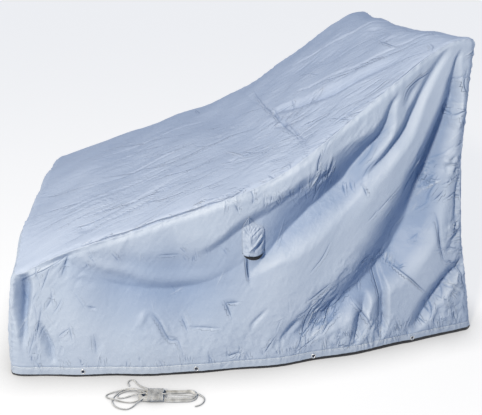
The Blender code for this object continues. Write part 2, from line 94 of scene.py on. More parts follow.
shuffle = np.random.default_rng(7)
noiseOrder = shuffle.permutation(256)
noiseSlopes = shuffle.normal(size=(256, 3))
noiseSlopes /= np.linalg.norm(noiseSlopes, axis=1, keepdims=True)


def softNoise(points, size, start=0.0):
    # smooth noise from about -1 to 1, whose bumps are about size wide
    place = np.asarray(points) / size + start
    cell = np.floor(place).astype(int)
    part = place - cell
    ease = part**3 * (part * (part * 6 - 15) + 10)
    total = np.zeros(place.shape[:-1])
    for corner in np.ndindex(2, 2, 2):
        at = (cell + corner) & 255
        pick = noiseOrder[(noiseOrder[(noiseOrder[at[..., 0]] + at[..., 1]) & 255] + at[..., 2]) & 255]
        weight = np.prod(np.where(corner, ease, 1 - ease), axis=-1)
        total += weight * ((part - corner) * noiseSlopes[pick]).sum(-1)
    return total * 1.7


def smoothStep(distance, reach):
    t = np.clip(distance / reach, 0, 1)
    return t * t * (3 - 2 * t)


# ---- draw cord: a loose hank on the floor, wound about its waist, one length from end to end
drawCord = {
    "diameter": 0.003,
    "pointRadius": 0.005,  # at 1 each point would count as a metre wide in the curve's bounds
    "spacing": 0.003,
    "middle": ((-322, 582), (-290, 588), (-246, 594), (-215, 598), (-170, 600)),  # y and x, mm
    "farArc": -193,
    "nearArc": -303,
    # a turn each: half its width and the height it lies at, mm
    "turns": ((9.5, 4.4), (12.8, 4.4), (16.1, 4.4), (19.4, 4.4), (17.6, 7.4), (14.2, 7.4),
              (10.8, 7.4), (12.6, 10.4), (16.4, 10.4), (13.6, 12.6)),
    "pointsPerTurn": 22,
    "climbFrom": 0.85,  # the share of a turn after which the cord climbs to the next
    "lowest": 1.7,
    "waist": -279,
    "waistReach": 34,
    "squeeze": 0.14,
    # how far a turn at droopLevel sinks at the far end, and what share of it the upper turns sink
    "droop": 2.61,
    "droopLevel": 4.4,
    "upperLevel": 8,
    "upperShare": 0.8,
    "looseness": 1.1,
    "strayRate": 5,
    "wraps": 13,
    "pointsPerWrap": 12,
    "wrapTurned": 0.1,
    "wrapStart": -259,
    "wrapSpacing": 3.2,
    "wrapHalf": 19.5,
    "wrapRound": 6.6,
    "wrapMiddle": 8.2,
}
# Where the cord starts and how it ends, as x, y and height in mm.
cordTail = (
    (638, -183, 1.8), (636, -172, 1.8), (630, -163, 1.8), (621, -158, 1.8), (611, -159, 2.2),
    (603, -166, 3.0), (597, -176, 4.0),
)
cordLoops = (
    (597, -306, 12.6), (601, -317, 8.5), (608, -329, 4.0), (617, -340, 1.9), (621, -354, 1.8),
    (614, -372, 1.8), (602, -384, 1.8), (587, -389, 1.8), (570, -383, 1.8), (556, -369, 1.8),
    (549, -353, 1.8), (552, -337, 3.5), (562, -325, 8.0), (573, -314, 12.4), (581, -303, 11.0),
    (584, -293, 8.6), (590, -287, 8.0), (596, -293, 8.6), (596, -305, 12.6), (598, -318, 8.0),
    (600, -332, 3.4), (598, -350, 1.8), (591, -370, 2.4), (582, -388, 4.9), (574, -401, 2.2),
    (565, -405, 1.8), (559, -395, 2.6), (557, -378, 4.9), (554, -358, 4.6), (558, -339, 6.6),
    (567, -325, 10.5), (578, -313, 14.6), (586, -303, 12.0), (587, -293, 9.6), (583, -286, 9.0),
    (577, -292, 9.6), (575, -305, 13.4), (567, -320, 10.2), (561, -334, 7.4), (559, -352, 5.2),
    (563, -368, 2.2), (572, -377, 1.8), (580, -371, 1.8), (580, -357, 2.2), (578, -341, 4.5),
    (581, -325, 9.6), (586, -312, 14.6), (584, -300, 12.6), (577, -293, 10.8), (568, -296, 9.4),
    (559, -305, 7.0), (547, -317, 3.6), (534, -327, 1.9), (523, -333, 1.8), (517, -341, 1.8),
    (521, -349, 1.8), (530, -351, 1.8), (540, -347, 1.8),
)


def racetrack(share, halfStraight, radius):
    # a point of a stadium, starting at the end of its right straight side
    straight = 2 * halfStraight
    arc = math.pi * radius
    run = (share % 1) * 2 * (straight + arc)
    if run < straight:
        return halfStraight - run, radius
    if run < straight + arc:
        turn = (run - straight) / radius
        return -halfStraight - radius * math.sin(turn), radius * math.cos(turn)
    if run < 2 * straight + arc:
        return run - straight - arc - halfStraight, -radius
    turn = (run - 2 * straight - arc) / radius
    return halfStraight + radius * math.sin(turn), -radius * math.cos(turn)


def hankMiddle(cord, y):
    return np.interp(y, *np.array(cord["middle"], float).T)


def hankTurns(cord):
    halfStraight = (cord["farArc"] - cord["nearArc"]) / 2
    centre = (cord["farArc"] + cord["nearArc"]) / 2
    turns = np.array(cord["turns"])
    route = []
    for step in range(cord["pointsPerTurn"] * (len(turns) - 1)):
        at = step / cord["pointsPerTurn"]
        halfWidth = np.interp(at, range(len(turns)), turns[:, 0])
        thisLevel, nextLevel = turns[int(at):int(at) + 2, 1]
        level = np.interp(at % 1, (0, cord["climbFrom"], 1), (thisLevel, thisLevel, nextLevel))
        along, across = racetrack(at, halfStraight, halfWidth)
        y = centre + along
        fromWaist = y - cord["waist"]
        nearWaist = math.exp(-((fromWaist / cord["waistReach"]) ** 2))
        across *= 1 - cord["squeeze"] * nearWaist
        farShare = min(1, max(0, fromWaist / (cord["farArc"] - cord["waist"])))
        sink = cord["droop"] * (1 if level < cord["upperLevel"] else cord["upperShare"])
        level -= sink * farShare * level / cord["droopLevel"]
        place = at * cord["strayRate"]
        stray = softNoise(np.array([[place, 0.3, 0], [place, 7.3, 3]]), 1.0) * cord["looseness"]
        stray *= 1.5 - nearWaist
        level = max(level, cord["lowest"])
        route.append((hankMiddle(cord, y) + across + stray[0], y + 2 * stray[1], level))
    return route


def waistWraps(cord):
    halfStraight = cord["wrapHalf"] - cord["wrapRound"]
    route = []
    for step in range(cord["pointsPerWrap"] * cord["wraps"]):
        at = step / cord["pointsPerWrap"]
        across, up = racetrack(at + cord["wrapTurned"], halfStraight, cord["wrapRound"])
        y = cord["wrapStart"] - cord["wrapSpacing"] * at
        route.append((hankMiddle(cord, y) + across, y, cord["wrapMiddle"] + up))
    return route


def makeDrawCord(cord):
    route = list(cordTail) + hankTurns(cord) + waistWraps(cord) + list(cordLoops)
    route = smoothLine(np.array(route) * mm, cord["spacing"])
    curve = bpy.data.curves.new("drawCord", "CURVE")
    curve.dimensions = "3D"
    curve.bevel_depth = cord["diameter"] / 2 / cord["pointRadius"]
    curve.bevel_resolution = 2
    curve.use_fill_caps = True
    spline = curve.splines.new("POLY")
    spline.points.add(len(route) - 1)
    spline.points.foreach_set("co", np.hstack([route, np.ones((len(route), 1))]).ravel())
    spline.points.foreach_set("radius", np.full(len(route), cord["pointRadius"]))
    drawn = addObject("drawCord", curve)
    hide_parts("draw_cord_hank", "draw_cord_loop", "draw_cord_tail")
    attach(drawn, "root")
    return drawn


cordPiece = makeDrawCord(drawCord)


# ---- the cover's form: the same sizes as its solids
coverForm = {
    "length": 1.336,
    "width": 0.90,
    "topFront": -0.620,
    "topBack": 0.568,
    "sideSwell": 0.076,
    "endSwell": 0.016,
    "backFlareShare": 0.65,
    "backFlareCurve": 1.2,
    "backEdgeDip": 0.026,
    "cornerDroop": 0.026,
    "cornerReach": 0.085,
    "slopeLift": 0.012,
    "slopeLiftShare": 0.78,
    "slopeLiftReach": 0.17,
    "roundAcross": 0.024,
    "roundFront": 0.034,
    "roundBack": 0.020,
    "waver": 0.0018,
    # share of the way back, height, half width, crown, rounding
    "stations": (
        (0.00, 0.318, 0.425, 0.034, 0.034),
        (0.14, 0.366, 0.436, 0.030, 0.030),
        (0.35, 0.441, 0.452, 0.018, 0.026),
        (0.52, 0.509, 0.457, 0.008, 0.024),
        (0.61, 0.556, 0.450, 0.002, 0.022),
        (0.73, 0.656, 0.428, -0.004, 0.020),
        (0.82, 0.732, 0.409, -0.006, 0.020),
        (0.91, 0.814, 0.392, -0.008, 0.020),
        (0.945, 0.835, 0.388, -0.008, 0.018),
        (1.00, 0.840, 0.382, -0.010, 0.018),
    ),
    # sine waves through every piece: radians a metre along x, y and z, and where each starts
    "waves": ((0, 21, 9, 0.7), (17, 0, -13, 2.1), (33, 33, 0, 1.3)),
}
halfLength = coverForm["length"] / 2
halfWidth = coverForm["width"] / 2
stationTable = np.array(coverForm["stations"])
stationSlopes = np.gradient(stationTable, stationTable[:, 0], axis=0)
heightColumn, halfWidthColumn, crownColumn, roundingColumn = 1, 2, 3, 4


def stationValue(share, column):
    shares = stationTable[:, 0]
    values = stationTable[:, column]
    slopes = stationSlopes[:, column]
    share = np.clip(share, 0, 1)
    left = np.clip(np.searchsorted(shares, share) - 1, 0, len(shares) - 2)
    span = shares[left + 1] - shares[left]
    t = (share - shares[left]) / span
    return ((1 + 2 * t) * (1 - t) ** 2 * values[left] + t * (1 - t) ** 2 * span * slopes[left]
            + t**2 * (3 - 2 * t) * values[left + 1] + t**2 * (t - 1) * span * slopes[left + 1])


def heightAt(y):
    return stationValue((y + halfLength) / coverForm["length"], heightColumn)


def hungPoint(x, y, rise):
    # a point of a sharp-edged box, rise being the share of its height, set on the cover's form
    f = coverForm
    innerX = np.clip(x, f["roundAcross"] - halfWidth, halfWidth - f["roundAcross"])
    innerY = np.clip(y, f["roundFront"] - halfLength, halfLength - f["roundBack"])
    innerShare = (innerY + halfLength) / f["length"]
    height = stationValue(innerShare, heightColumn)
    rounding = stationValue(innerShare, roundingColumn)
    innerZ = np.minimum(rise * height, height - rounding)
    roundY = np.where(y < 0, f["roundFront"], f["roundBack"])
    across = (x - innerX) / f["roundAcross"]
    along = (y - innerY) / roundY
    upward = (rise * height - innerZ) / rounding
    reach = np.sqrt(across**2 + along**2 + upward**2)
    x = innerX + f["roundAcross"] * across / reach
    y = innerY + roundY * along / reach
    z = innerZ + rounding * upward / reach

    share = (y + halfLength) / f["length"]
    side = x / halfWidth
    rise = z / height
    low = 1 - rise
    hemHalf = halfWidth + f["sideSwell"] * np.sin(np.pi * np.clip(share, 0, 1))
    half = hemHalf * low + stationValue(share, halfWidthColumn) * rise
    middle = 1 - side**2
    front = -halfLength * low + f["topFront"] * rise - f["endSwell"] * middle * low
    backLow = np.clip(1 - rise / f["backFlareShare"], 0, 1) ** f["backFlareCurve"]
    back = f["topBack"] + (halfLength - f["topBack"]) * backLow + f["endSwell"] * middle * low
    back = back - f["backEdgeDip"] * middle * rise**2
    crown = stationValue(share, crownColumn) * middle * rise**2
    fromCorner = np.hypot(halfWidth - x, halfLength + y)
    droop = f["cornerDroop"] * np.exp(-((fromCorner / f["cornerReach"]) ** 2)) * rise**2
    lift = f["slopeLift"] * np.exp(-(((share - f["slopeLiftShare"]) / f["slopeLiftReach"]) ** 2))
    z = z + crown - droop + lift * (0.5 + 0.5 * side) * rise**2
    return np.stack([side * half, front + (back - front) * share, z], axis=-1)


def seamWaver(points):
    waver = np.zeros(points.shape[:-1])
    for wave in coverForm["waves"]:
        waver += coverForm["waver"] * np.sin(points @ np.array(wave[:3]) + wave[3])
    return waver


# ---- creases of each side. A row is a point (y and z on a side, x and y on the top, x and z on
# the ends), the width of the flank before the crease and after it, and its depth, all in mm. A
# crease runs downwards, with its after flank towards its left hand. A negative depth is a ridge.
# The number before the rows is how its flanks curve: 1 is sharp in the trough, 2 is round.
creases = {
    "left": (
        # the narrow crease from the back corner, and the bright roll beside it
        (1.25, ((500, 824, 5, 7, 0), (480, 798, 9, 9, 5), (456, 757, 13, 11, 8), (436, 716, 15, 12, 11),
                (420, 676, 16, 13, 14), (402, 636, 16, 16, 16), (376, 598, 16, 18, 17),
                (342, 558, 17, 20, 17), (308, 520, 18, 22, 15), (278, 484, 20, 26, 12),
                (248, 448, 24, 30, 8), (205, 408, 28, 34, 4), (155, 368, 30, 36, 0))),
        # short pocket near the seam
        (1.2, ((436, 764, 7, 8, 0), (418, 738, 9, 9, 4), (402, 716, 12, 10, 6), (392, 696, 12, 10, 4),
               (380, 680, 10, 10, 0))),
        # the crease under the seam at mid length, down to the vent
        (1.2, ((365, 718, 4, 5, 0), (350, 696, 8, 8, 7), (344, 672, 13, 10, 12), (342, 647, 19, 12, 18),
               (328, 608, 28, 15, 27), (298, 569, 40, 19, 35), (271, 531, 52, 25, 39),
               (241, 492, 60, 32, 41), (195, 458, 60, 38, 40), (147, 423, 58, 42, 38),
               (102, 387, 52, 42, 33), (60, 352, 46, 36, 26), (28, 318, 38, 20, 16), (3, 293, 24, 16, 8),
               (-18, 272, 14, 12, 0))),
        # the underside of the seam's roll, and the broad slope below it
        (1.4, ((160, 525, 12, 20, 0), (128, 500, 18, 44, 8), (95, 472, 21, 58, 12),
               (37, 434, 22, 62, 14), (-33, 401, 19, 60, 13), (-79, 367, 14, 50, 10),
               (-115, 345, 12, 40, 6), (-150, 330, 12, 34, 0))),
        (1.15, ((45, 366, 30, 50, 0), (0, 334, 46, 70, 8), (-60, 292, 70, 90, 15),
                (-147, 250, 100, 108, 23), (-225, 240, 118, 112, 26), (-351, 254, 100, 108, 22),
                (-420, 286, 66, 90, 14), (-490, 330, 32, 60, 6), (-525, 350, 20, 40, 0))),
        # the great fold from the back corner down to the middle of the hem
        (1.45, ((530, 815, 4, 5, 0), (520, 788, 7, 6, 8), (525, 750, 17, 8, 15), (528, 710, 26, 12, 24),
                (524, 672, 29, 16, 31), (515, 633, 32, 22, 37), (505, 593, 36, 28, 42),
                (494, 551, 43, 34, 46), (482, 511, 48, 38, 48), (472, 468, 55, 42, 50),
                (464, 427, 63, 46, 51), (456, 386, 72, 48, 52), (441, 344, 79, 50, 52),
                (421, 304, 83, 50, 51), (393, 264, 82, 48, 49), (349, 229, 76, 42, 44),
                (297, 193, 66, 36, 37), (243, 158, 58, 34, 30), (186, 120, 52, 30, 21),
                (120, 96, 36, 26, 12), (40, 70, 24, 20, 0))),
        (2, ((560, 700, 14, 12, 0), (538, 630, 16, 14, -5), (520, 540, 20, 16, -8),
             (498, 460, 22, 18, -8), (478, 390, 22, 20, -6), (440, 330, 22, 20, 0))),
        (1.1, ((482, 545, 4, 4, 0), (455, 508, 5, 5, 4), (425, 478, 6, 5, 5), (402, 452, 6, 6, 0))),
        (2, ((478, 570, 5, 4, 0), (450, 534, 5, 4, -4), (420, 500, 5, 5, 0))),
        # small crisp creases low in the middle
        (1.1, ((222, 178, 6, 6, 0), (205, 148, 7, 6, 5), (185, 120, 6, 6, 0))),
        (1.1, ((240, 190, 5, 6, 0), (222, 162, 8, 6, 6), (214, 138, 7, 6, 6), (205, 118, 6, 6, 4),
               (190, 98, 6, 6, 0))),
        (1.1, ((153, 192, 5, 5, 0), (148, 174, 6, 6, 5), (144, 158, 5, 5, 0))),
        (1.1, ((30, 182, 4, 5, 0), (8, 158, 7, 5, 4), (-12, 138, 7, 5, 4), (-22, 112, 6, 6, 0))),
        (1.1, ((-21, 316, 4, 14, 5), (-22, 290, 4, 16, 6), (-22, 262, 4, 12, 3), (-23, 240, 5, 8, 0))),
        # creases that stand on the hem, right of the middle
        (1.05, ((366, 255, 8, 4, 0), (370, 228, 18, 4, 8), (372, 185, 30, 5, 17), (375, 135, 36, 5, 20),
                (374, 90, 34, 5, 19), (366, 56, 24, 5, 12), (360, 38, 14, 6, 3))),
        (1.3, ((322, 180, 8, 6, 0), (312, 152, 18, 9, 14), (302, 118, 24, 9, 22), (296, 78, 24, 9, 22),
               (284, 48, 18, 9, 12), (278, 36, 14, 10, 4))),
        (1.4, ((124, 136, 8, 8, 0), (108, 120, 12, 9, 7), (88, 101, 12, 9, 7), (68, 78, 8, 8, 0))),
        (2, ((268, 172, 8, 7, 0), (290, 142, 8, 7, -5), (318, 106, 8, 7, -5), (345, 66, 8, 7, 0))),
        (2, ((402, 262, 5, 5, 0), (430, 210, 6, 5, -3), (470, 172, 6, 5, 0))),
        (1.2, ((392, 252, 4, 4, 0), (418, 214, 5, 4, 3), (458, 174, 5, 4, 0))),
        # the fold that crosses the low back corner
        (1.2, ((632, 240, 12, 10, 8), (608, 214, 24, 12, 17), (582, 186, 32, 12, 24),
               (556, 148, 38, 12, 28), (527, 106, 40, 12, 28), (494, 64, 36, 10, 20),
               (470, 40, 26, 8, 10))),
        (2, ((560, 110, 12, 12, 0), (548, 95, 10, 12, 5), (540, 60, 10, 12, 4), (536, 40, 10, 10, 0))),
        (1.1, ((508, 392, 6, 6, 0), (515, 350, 8, 6, 5), (530, 295, 8, 5, 6), (546, 244, 6, 5, 0))),
        (1.3, ((590, 340, 12, 12, 0), (565, 290, 14, 12, 6), (546, 246, 10, 10, 0))),
        (1.5, ((592, 520, 16, 20, 4), (578, 470, 14, 20, 10), (572, 420, 14, 20, 12),
               (572, 360, 12, 20, 8), (580, 320, 12, 18, 0))),
        # the corner's own dark fold, and the low front corner
        (1.8, ((-588, 306, 8, 12, 0), (-591, 272, 21, 16, 19), (-600, 222, 20, 16, 25),
               (-606, 176, 15, 12, 22), (-611, 136, 9, 10, 13), (-616, 96, 5, 8, 3), (-619, 60, 5, 8, 0))),
        (1.2, ((-640, 205, 6, 5, 0), (-634, 170, 8, 5, 5), (-640, 120, 8, 6, 4), (-645, 70, 6, 5, 0))),
        (1.2, ((-552, 308, 5, 6, 1.1), (-515, 326, 6, 7, 1.9), (-478, 344, 6, 7, 1.5),
               (-455, 352, 6, 7, 0))),
        (1.1, ((-474, 348, 5, 4, 1.1), (-480, 322, 9, 6, 3), (-488, 292, 9, 7, 1.9), (-496, 270, 9, 8, 0))),
        (2, ((-455, 352, 8, 10, 0), (-405, 316, 12, 14, -3), (-340, 296, 16, 18, -3.2),
             (-270, 272, 18, 20, -3.2), (-160, 264, 20, 22, -3.8), (-50, 282, 20, 22, 0))),
        (2, ((-430, 362, 14, 14, 0), (-350, 330, 26, 20, 1.5), (-240, 312, 30, 24, 2),
             (-140, 318, 28, 24, 1.8), (-80, 340, 24, 20, 0))),
        (1.5, ((-480, 225, 12, 14, 0), (-515, 255, 12, 14, 1.5), (-552, 298, 8, 10, 0))),
        (1.4, ((-385, 258, 10, 12, 0), (-445, 272, 10, 12, 1.5), (-502, 292, 8, 10, 0))),
        (1.1, ((-520, 246, 5, 4, 0), (-535, 218, 6, 4, 1.5), (-546, 196, 5, 4, 0))),
        (1.1, ((-552, 178, 5, 4, 0), (-565, 150, 7, 4, 1.5), (-582, 120, 5, 4, 0))),
        (1.3, ((-566, 170, 6, 6, 0), (-556, 134, 12, 8, 9), (-548, 96, 14, 9, 12), (-543, 58, 11, 8, 7),
               (-541, 38, 6, 6, 0))),
        (1.1, ((-280, 182, 5, 5, 0), (-262, 152, 7, 5, 3.8), (-242, 114, 8, 5, 4.5),
               (-216, 100, 6, 6, 3), (-204, 72, 5, 5, 0))),
        (2, ((-268, 184, 5, 5, 0), (-246, 142, 6, 6, -2.2), (-222, 108, 5, 5, 0))),
        (2, ((-288, 190, 8, 8, 0), (-302, 166, 9, 9, -3), (-318, 140, 8, 8, 0))),
        (1.2, ((-198, 164, 4, 4, 0), (-194, 142, 5, 5, 2.2), (-188, 122, 4, 4, 0))),
        (1.2, ((-100, 132, 6, 5, 0), (-140, 130, 7, 5, 2.2), (-186, 136, 6, 5, 0))),
        (1.2, ((-86, 204, 4, 5, 0), (-80, 182, 6, 6, 3), (-68, 158, 5, 5, 0))),
        (1.2, ((-48, 200, 4, 4, 0), (-66, 202, 5, 4, 2.2), (-86, 204, 4, 4, 0))),
        (1.2, ((-438, 208, 4, 4, 0), (-430, 200, 5, 4, 2.2), (-418, 198, 4, 4, 0))),
        (2, ((-428, 128, 10, 10, 0), (-426, 95, 12, 12, 3), (-418, 60, 10, 10, 0))),
        (1.2, ((-50, 56, 5, 5, 0), (-68, 50, 6, 5, 2.2), (-88, 44, 5, 5, 0))),
    ),
    "right": (
        (1.3, ((532, 812, 5, 7, 0), (470, 730, 12, 14, 10), (400, 640, 18, 20, 15),
               (330, 550, 24, 26, 12), (250, 460, 30, 30, 0))),
        (1.3, ((545, 780, 5, 8, 0), (505, 650, 18, 20, 18), (450, 500, 28, 28, 28),
               (370, 370, 32, 30, 26), (290, 280, 32, 30, 14), (210, 220, 30, 28, 0))),
        (1.4, ((345, 695, 8, 10, 0), (270, 620, 20, 22, 14), (190, 545, 24, 24, 16),
               (100, 490, 24, 24, 10), (0, 430, 22, 24, 0))),
        (1.2, ((488, 310, 10, 8, 0), (450, 230, 24, 12, 16), (425, 130, 26, 12, 18), (420, 36, 16, 10, 4))),
        (2, ((565, 570, 18, 18, 0), (520, 420, 22, 22, -9), (450, 260, 24, 24, -8), (390, 180, 22, 22, 0))),
        (1.2, ((-460, 280, 12, 8, 0), (-490, 190, 20, 12, 12), (-512, 100, 20, 12, 12),
               (-522, 36, 14, 10, 4))),
        (1.7, ((-120, 310, 20, 22, 0), (-98, 200, 24, 26, 10), (-106, 110, 22, 24, 9),
               (-112, 36, 18, 18, 2))),
        (1.7, ((130, 260, 20, 20, 0), (168, 170, 24, 26, 10), (162, 90, 22, 22, 8), (158, 36, 16, 16, 2))),
        (1.2, ((300, 240, 8, 8, 0), (285, 170, 12, 8, 6), (292, 110, 10, 8, 0))),
        (1.2, ((-260, 230, 8, 8, 0), (-300, 170, 12, 8, 6), (-318, 110, 10, 8, 0))),
        (1.2, ((20, 230, 6, 8, 0), (44, 170, 9, 8, 5), (52, 120, 8, 8, 0))),
        (2, ((-420, 350, 16, 16, 0), (-260, 300, 26, 22, 8), (-90, 340, 22, 20, 0))),
    ),
    "top": (
        # thin line up the slope, with the soft trough under it
        (1.1, ((285, 520, 4, 5, 0), (235, 440, 5, 6, 3), (190, 370, 5, 6, 4), (110, 300, 5, 6, 4),
               (50, 235, 5, 6, 4), (15, 205, 4, 5, 0))),
        (1.6, ((310, 420, 16, 20, 0), (255, 342, 20, 24, 9), (193, 259, 22, 26, 13),
               (134, 204, 20, 24, 12), (66, 145, 16, 20, 8), (40, 110, 12, 16, 0))),
        # the cross fold from its packing, and the node on it
        (1.2, ((440, 152, 5, 6, 0), (330, 142, 5, 6, 2.4), (180, 128, 5, 6, 3), (60, 128, 5, 6, 3),
               (-60, 118, 5, 6, 2), (-240, 104, 5, 6, 1.6), (-400, 96, 5, 6, 0))),
        (1.3, ((198, 142, 6, 6, 0), (174, 126, 11, 10, 8), (150, 118, 6, 6, 0))),
        (1.6, ((160, 460, 8, 8, 0), (138, 440, 10, 10, 4), (112, 424, 8, 8, 0))),
        (1.6, ((0, 472, 8, 8, 0), (-22, 456, 10, 10, 4), (-44, 448, 8, 8, 0))),
        # fan of fine wrinkles at the front half
        (1.2, ((230, -160, 4, 5, 0), (262, -232, 5, 6, 3), (300, -310, 5, 6, 4), (328, -395, 4, 5, 0))),
        (1.2, ((292, -200, 4, 5, 0), (315, -262, 5, 6, 3), (362, -350, 4, 5, 0))),
        (1.2, ((120, -150, 4, 5, 0), (170, -290, 5, 6, 2.6), (215, -420, 5, 6, 2.6), (232, -500, 4, 5, 0))),
        (1.2, ((20, -120, 5, 5, 0), (60, -260, 6, 7, 2.4), (110, -420, 6, 7, 2.4), (130, -500, 5, 5, 0))),
        (1.2, ((-120, -200, 5, 5, 0), (-60, -360, 6, 7, 2.2), (-20, -500, 5, 5, 0))),
        (2, ((402, -106, 5, 5, 0), (416, -130, 6, 6, -3), (432, -154, 5, 5, 0))),
        (1.3, ((240, -14, 5, 5, 0), (252, -30, 7, 7, 4), (244, -46, 5, 5, 0))),
        (1.3, ((20, -30, 5, 5, 0), (32, -42, 7, 6, 4), (44, -50, 5, 5, 0))),
        (2, ((352, -452, 12, 12, 0), (362, -430, 14, 14, 5), (372, -408, 12, 12, 0))),
        # broad soft hollows
        (2, ((300, -370, 60, 60, 0), (120, -350, 70, 70, 3), (-60, -340, 70, 70, 3),
             (-300, -420, 60, 60, 0))),
        (2, ((330, 20, 50, 50, 0), (120, 20, 60, 60, 3.5), (-120, -20, 60, 60, 3.5),
             (-330, -100, 50, 50, 0))),
        (2, ((60, 440, 40, 40, 0), (-60, 330, 45, 45, 3.5), (-180, 240, 45, 45, 3),
             (-290, 170, 40, 40, 0))),
        (1.2, ((-60, 540, 5, 6, 0), (-120, 430, 6, 7, 4), (-190, 330, 6, 7, 4), (-230, 250, 5, 6, 0))),
        (1.2, ((-230, -40, 5, 6, 0), (-200, -180, 6, 7, 3), (-160, -330, 6, 7, 3), (-120, -450, 5, 6, 0))),
    ),
    "front": (
        (1.3, ((-300, 268, 14, 12, 0), (-275, 190, 24, 18, 11), (-272, 100, 26, 18, 12),
               (-282, 36, 20, 14, 3))),
        (1.6, ((-58, 272, 18, 18, 0), (-42, 190, 26, 24, 9), (-52, 100, 26, 24, 9), (-70, 36, 20, 20, 2))),
        (1.3, ((232, 268, 12, 14, 0), (258, 190, 18, 24, 11), (264, 100, 18, 26, 12),
               (250, 36, 14, 20, 3))),
        (1.2, ((120, 250, 6, 6, 0), (96, 190, 9, 8, 5), (104, 130, 7, 7, 0))),
        (1.2, ((-170, 210, 6, 6, 0), (-156, 150, 9, 8, 5), (-174, 90, 7, 7, 0))),
        (1.2, ((376, 288, 8, 14, 0), (366, 230, 9, 30, 15), (368, 150, 9, 30, 17), (374, 85, 8, 24, 11),
               (382, 40, 8, 14, 2))),
        (1.2, ((-380, 250, 8, 6, 0), (-372, 170, 12, 9, 8), (-384, 90, 8, 8, 0))),
    ),
    "back": (
        (1.3, ((-318, 812, 8, 10, 0), (-278, 620, 28, 26, 14), (-262, 420, 34, 28, 17),
               (-278, 200, 30, 26, 14), (-302, 36, 20, 20, 3))),
        (1.5, ((-60, 740, 20, 20, 0), (-82, 520, 34, 32, 13), (-72, 300, 36, 34, 14),
               (-42, 36, 24, 24, 3))),
        (1.4, ((150, 600, 16, 16, 0), (122, 420, 30, 28, 11), (124, 240, 30, 28, 11),
               (158, 36, 22, 22, 3))),
        (1.3, ((322, 812, 10, 8, 0), (290, 620, 26, 26, 14), (278, 400, 28, 32, 17),
               (302, 180, 26, 28, 14), (332, 36, 18, 20, 3))),
        (1.2, ((20, 780, 6, 6, 0), (40, 660, 12, 10, 7), (30, 560, 10, 8, 0))),
        (1.2, ((-180, 700, 6, 6, 0), (-190, 560, 12, 10, 7), (-170, 440, 10, 8, 0))),
        (1.2, ((220, 320, 8, 8, 0), (206, 200, 14, 12, 9), (222, 90, 12, 10, 0))),
        (1.2, ((-190, 300, 8, 8, 0), (-168, 180, 14, 12, 9), (-180, 80, 12, 10, 0))),
        (2, ((380, 640, 20, 20, 0), (372, 420, 26, 26, -8), (380, 160, 20, 20, 0))),
        (2, ((-370, 640, 20, 20, 0), (-362, 420, 26, 26, -8), (-372, 160, 20, 20, 0))),
    ),
}


flanks = {
    "reach": 1.65,  # a flank ends this many widths from its crease
    "least": 0.002,  # no flank is narrower
    "sharpness": 1.5,
}
lineSpacing = 0.008


def nearLine(a, b, line, reach):
    near = (a > line[:, 0].min() - reach) & (a < line[:, 0].max() + reach)
    return near & (b > line[:, 1].min() - reach) & (b < line[:, 1].max() + reach)


def toSegment(a, b, start, end):
    # how far along the segment each point is, its distance from it, and its side as a sign
    da, db = end[0] - start[0], end[1] - start[1]
    t = np.clip(((a - start[0]) * da + (b - start[1]) * db) / (da * da + db * db), 0, 1)
    offA = a - start[0] - t * da
    offB = b - start[1] - t * db
    return t, np.hypot(offA, offB), da * offB - db * offA


def creaseRelief(a, b, rows):
    relief = np.zeros(a.shape)
    for curving, table in rows:
        line = smoothLine(np.array(table, float) * mm, lineSpacing)
        near = nearLine(a, b, line, flanks["reach"] * line[:, 2:4].max())
        nearA, nearB = a[near], b[near]
        best = np.full(nearA.shape, np.inf)
        found = np.zeros((4,) + nearA.shape)  # which side, width before, width after, depth
        for start, end in zip(line[:-1], line[1:]):
            t, distance, side = toSegment(nearA, nearB, start, end)
            closer = distance < best
            best[closer] = distance[closer]
            found[0, closer] = side[closer]
            for column in (2, 3, 4):
                found[column - 1, closer] = (start[column] + t * (end[column] - start[column]))[closer]
        width = np.maximum(np.where(found[0] > 0, found[2], found[1]), flanks["least"])
        away = np.clip(best / (flanks["reach"] * width), 0, 1)
        sharp = (1 - away) ** flanks["sharpness"]
        soft = np.cos(np.pi / 2 * away) ** 2
        relief[near] -= found[3] * (sharp + (curving - 1) * (soft - sharp))
    return relief


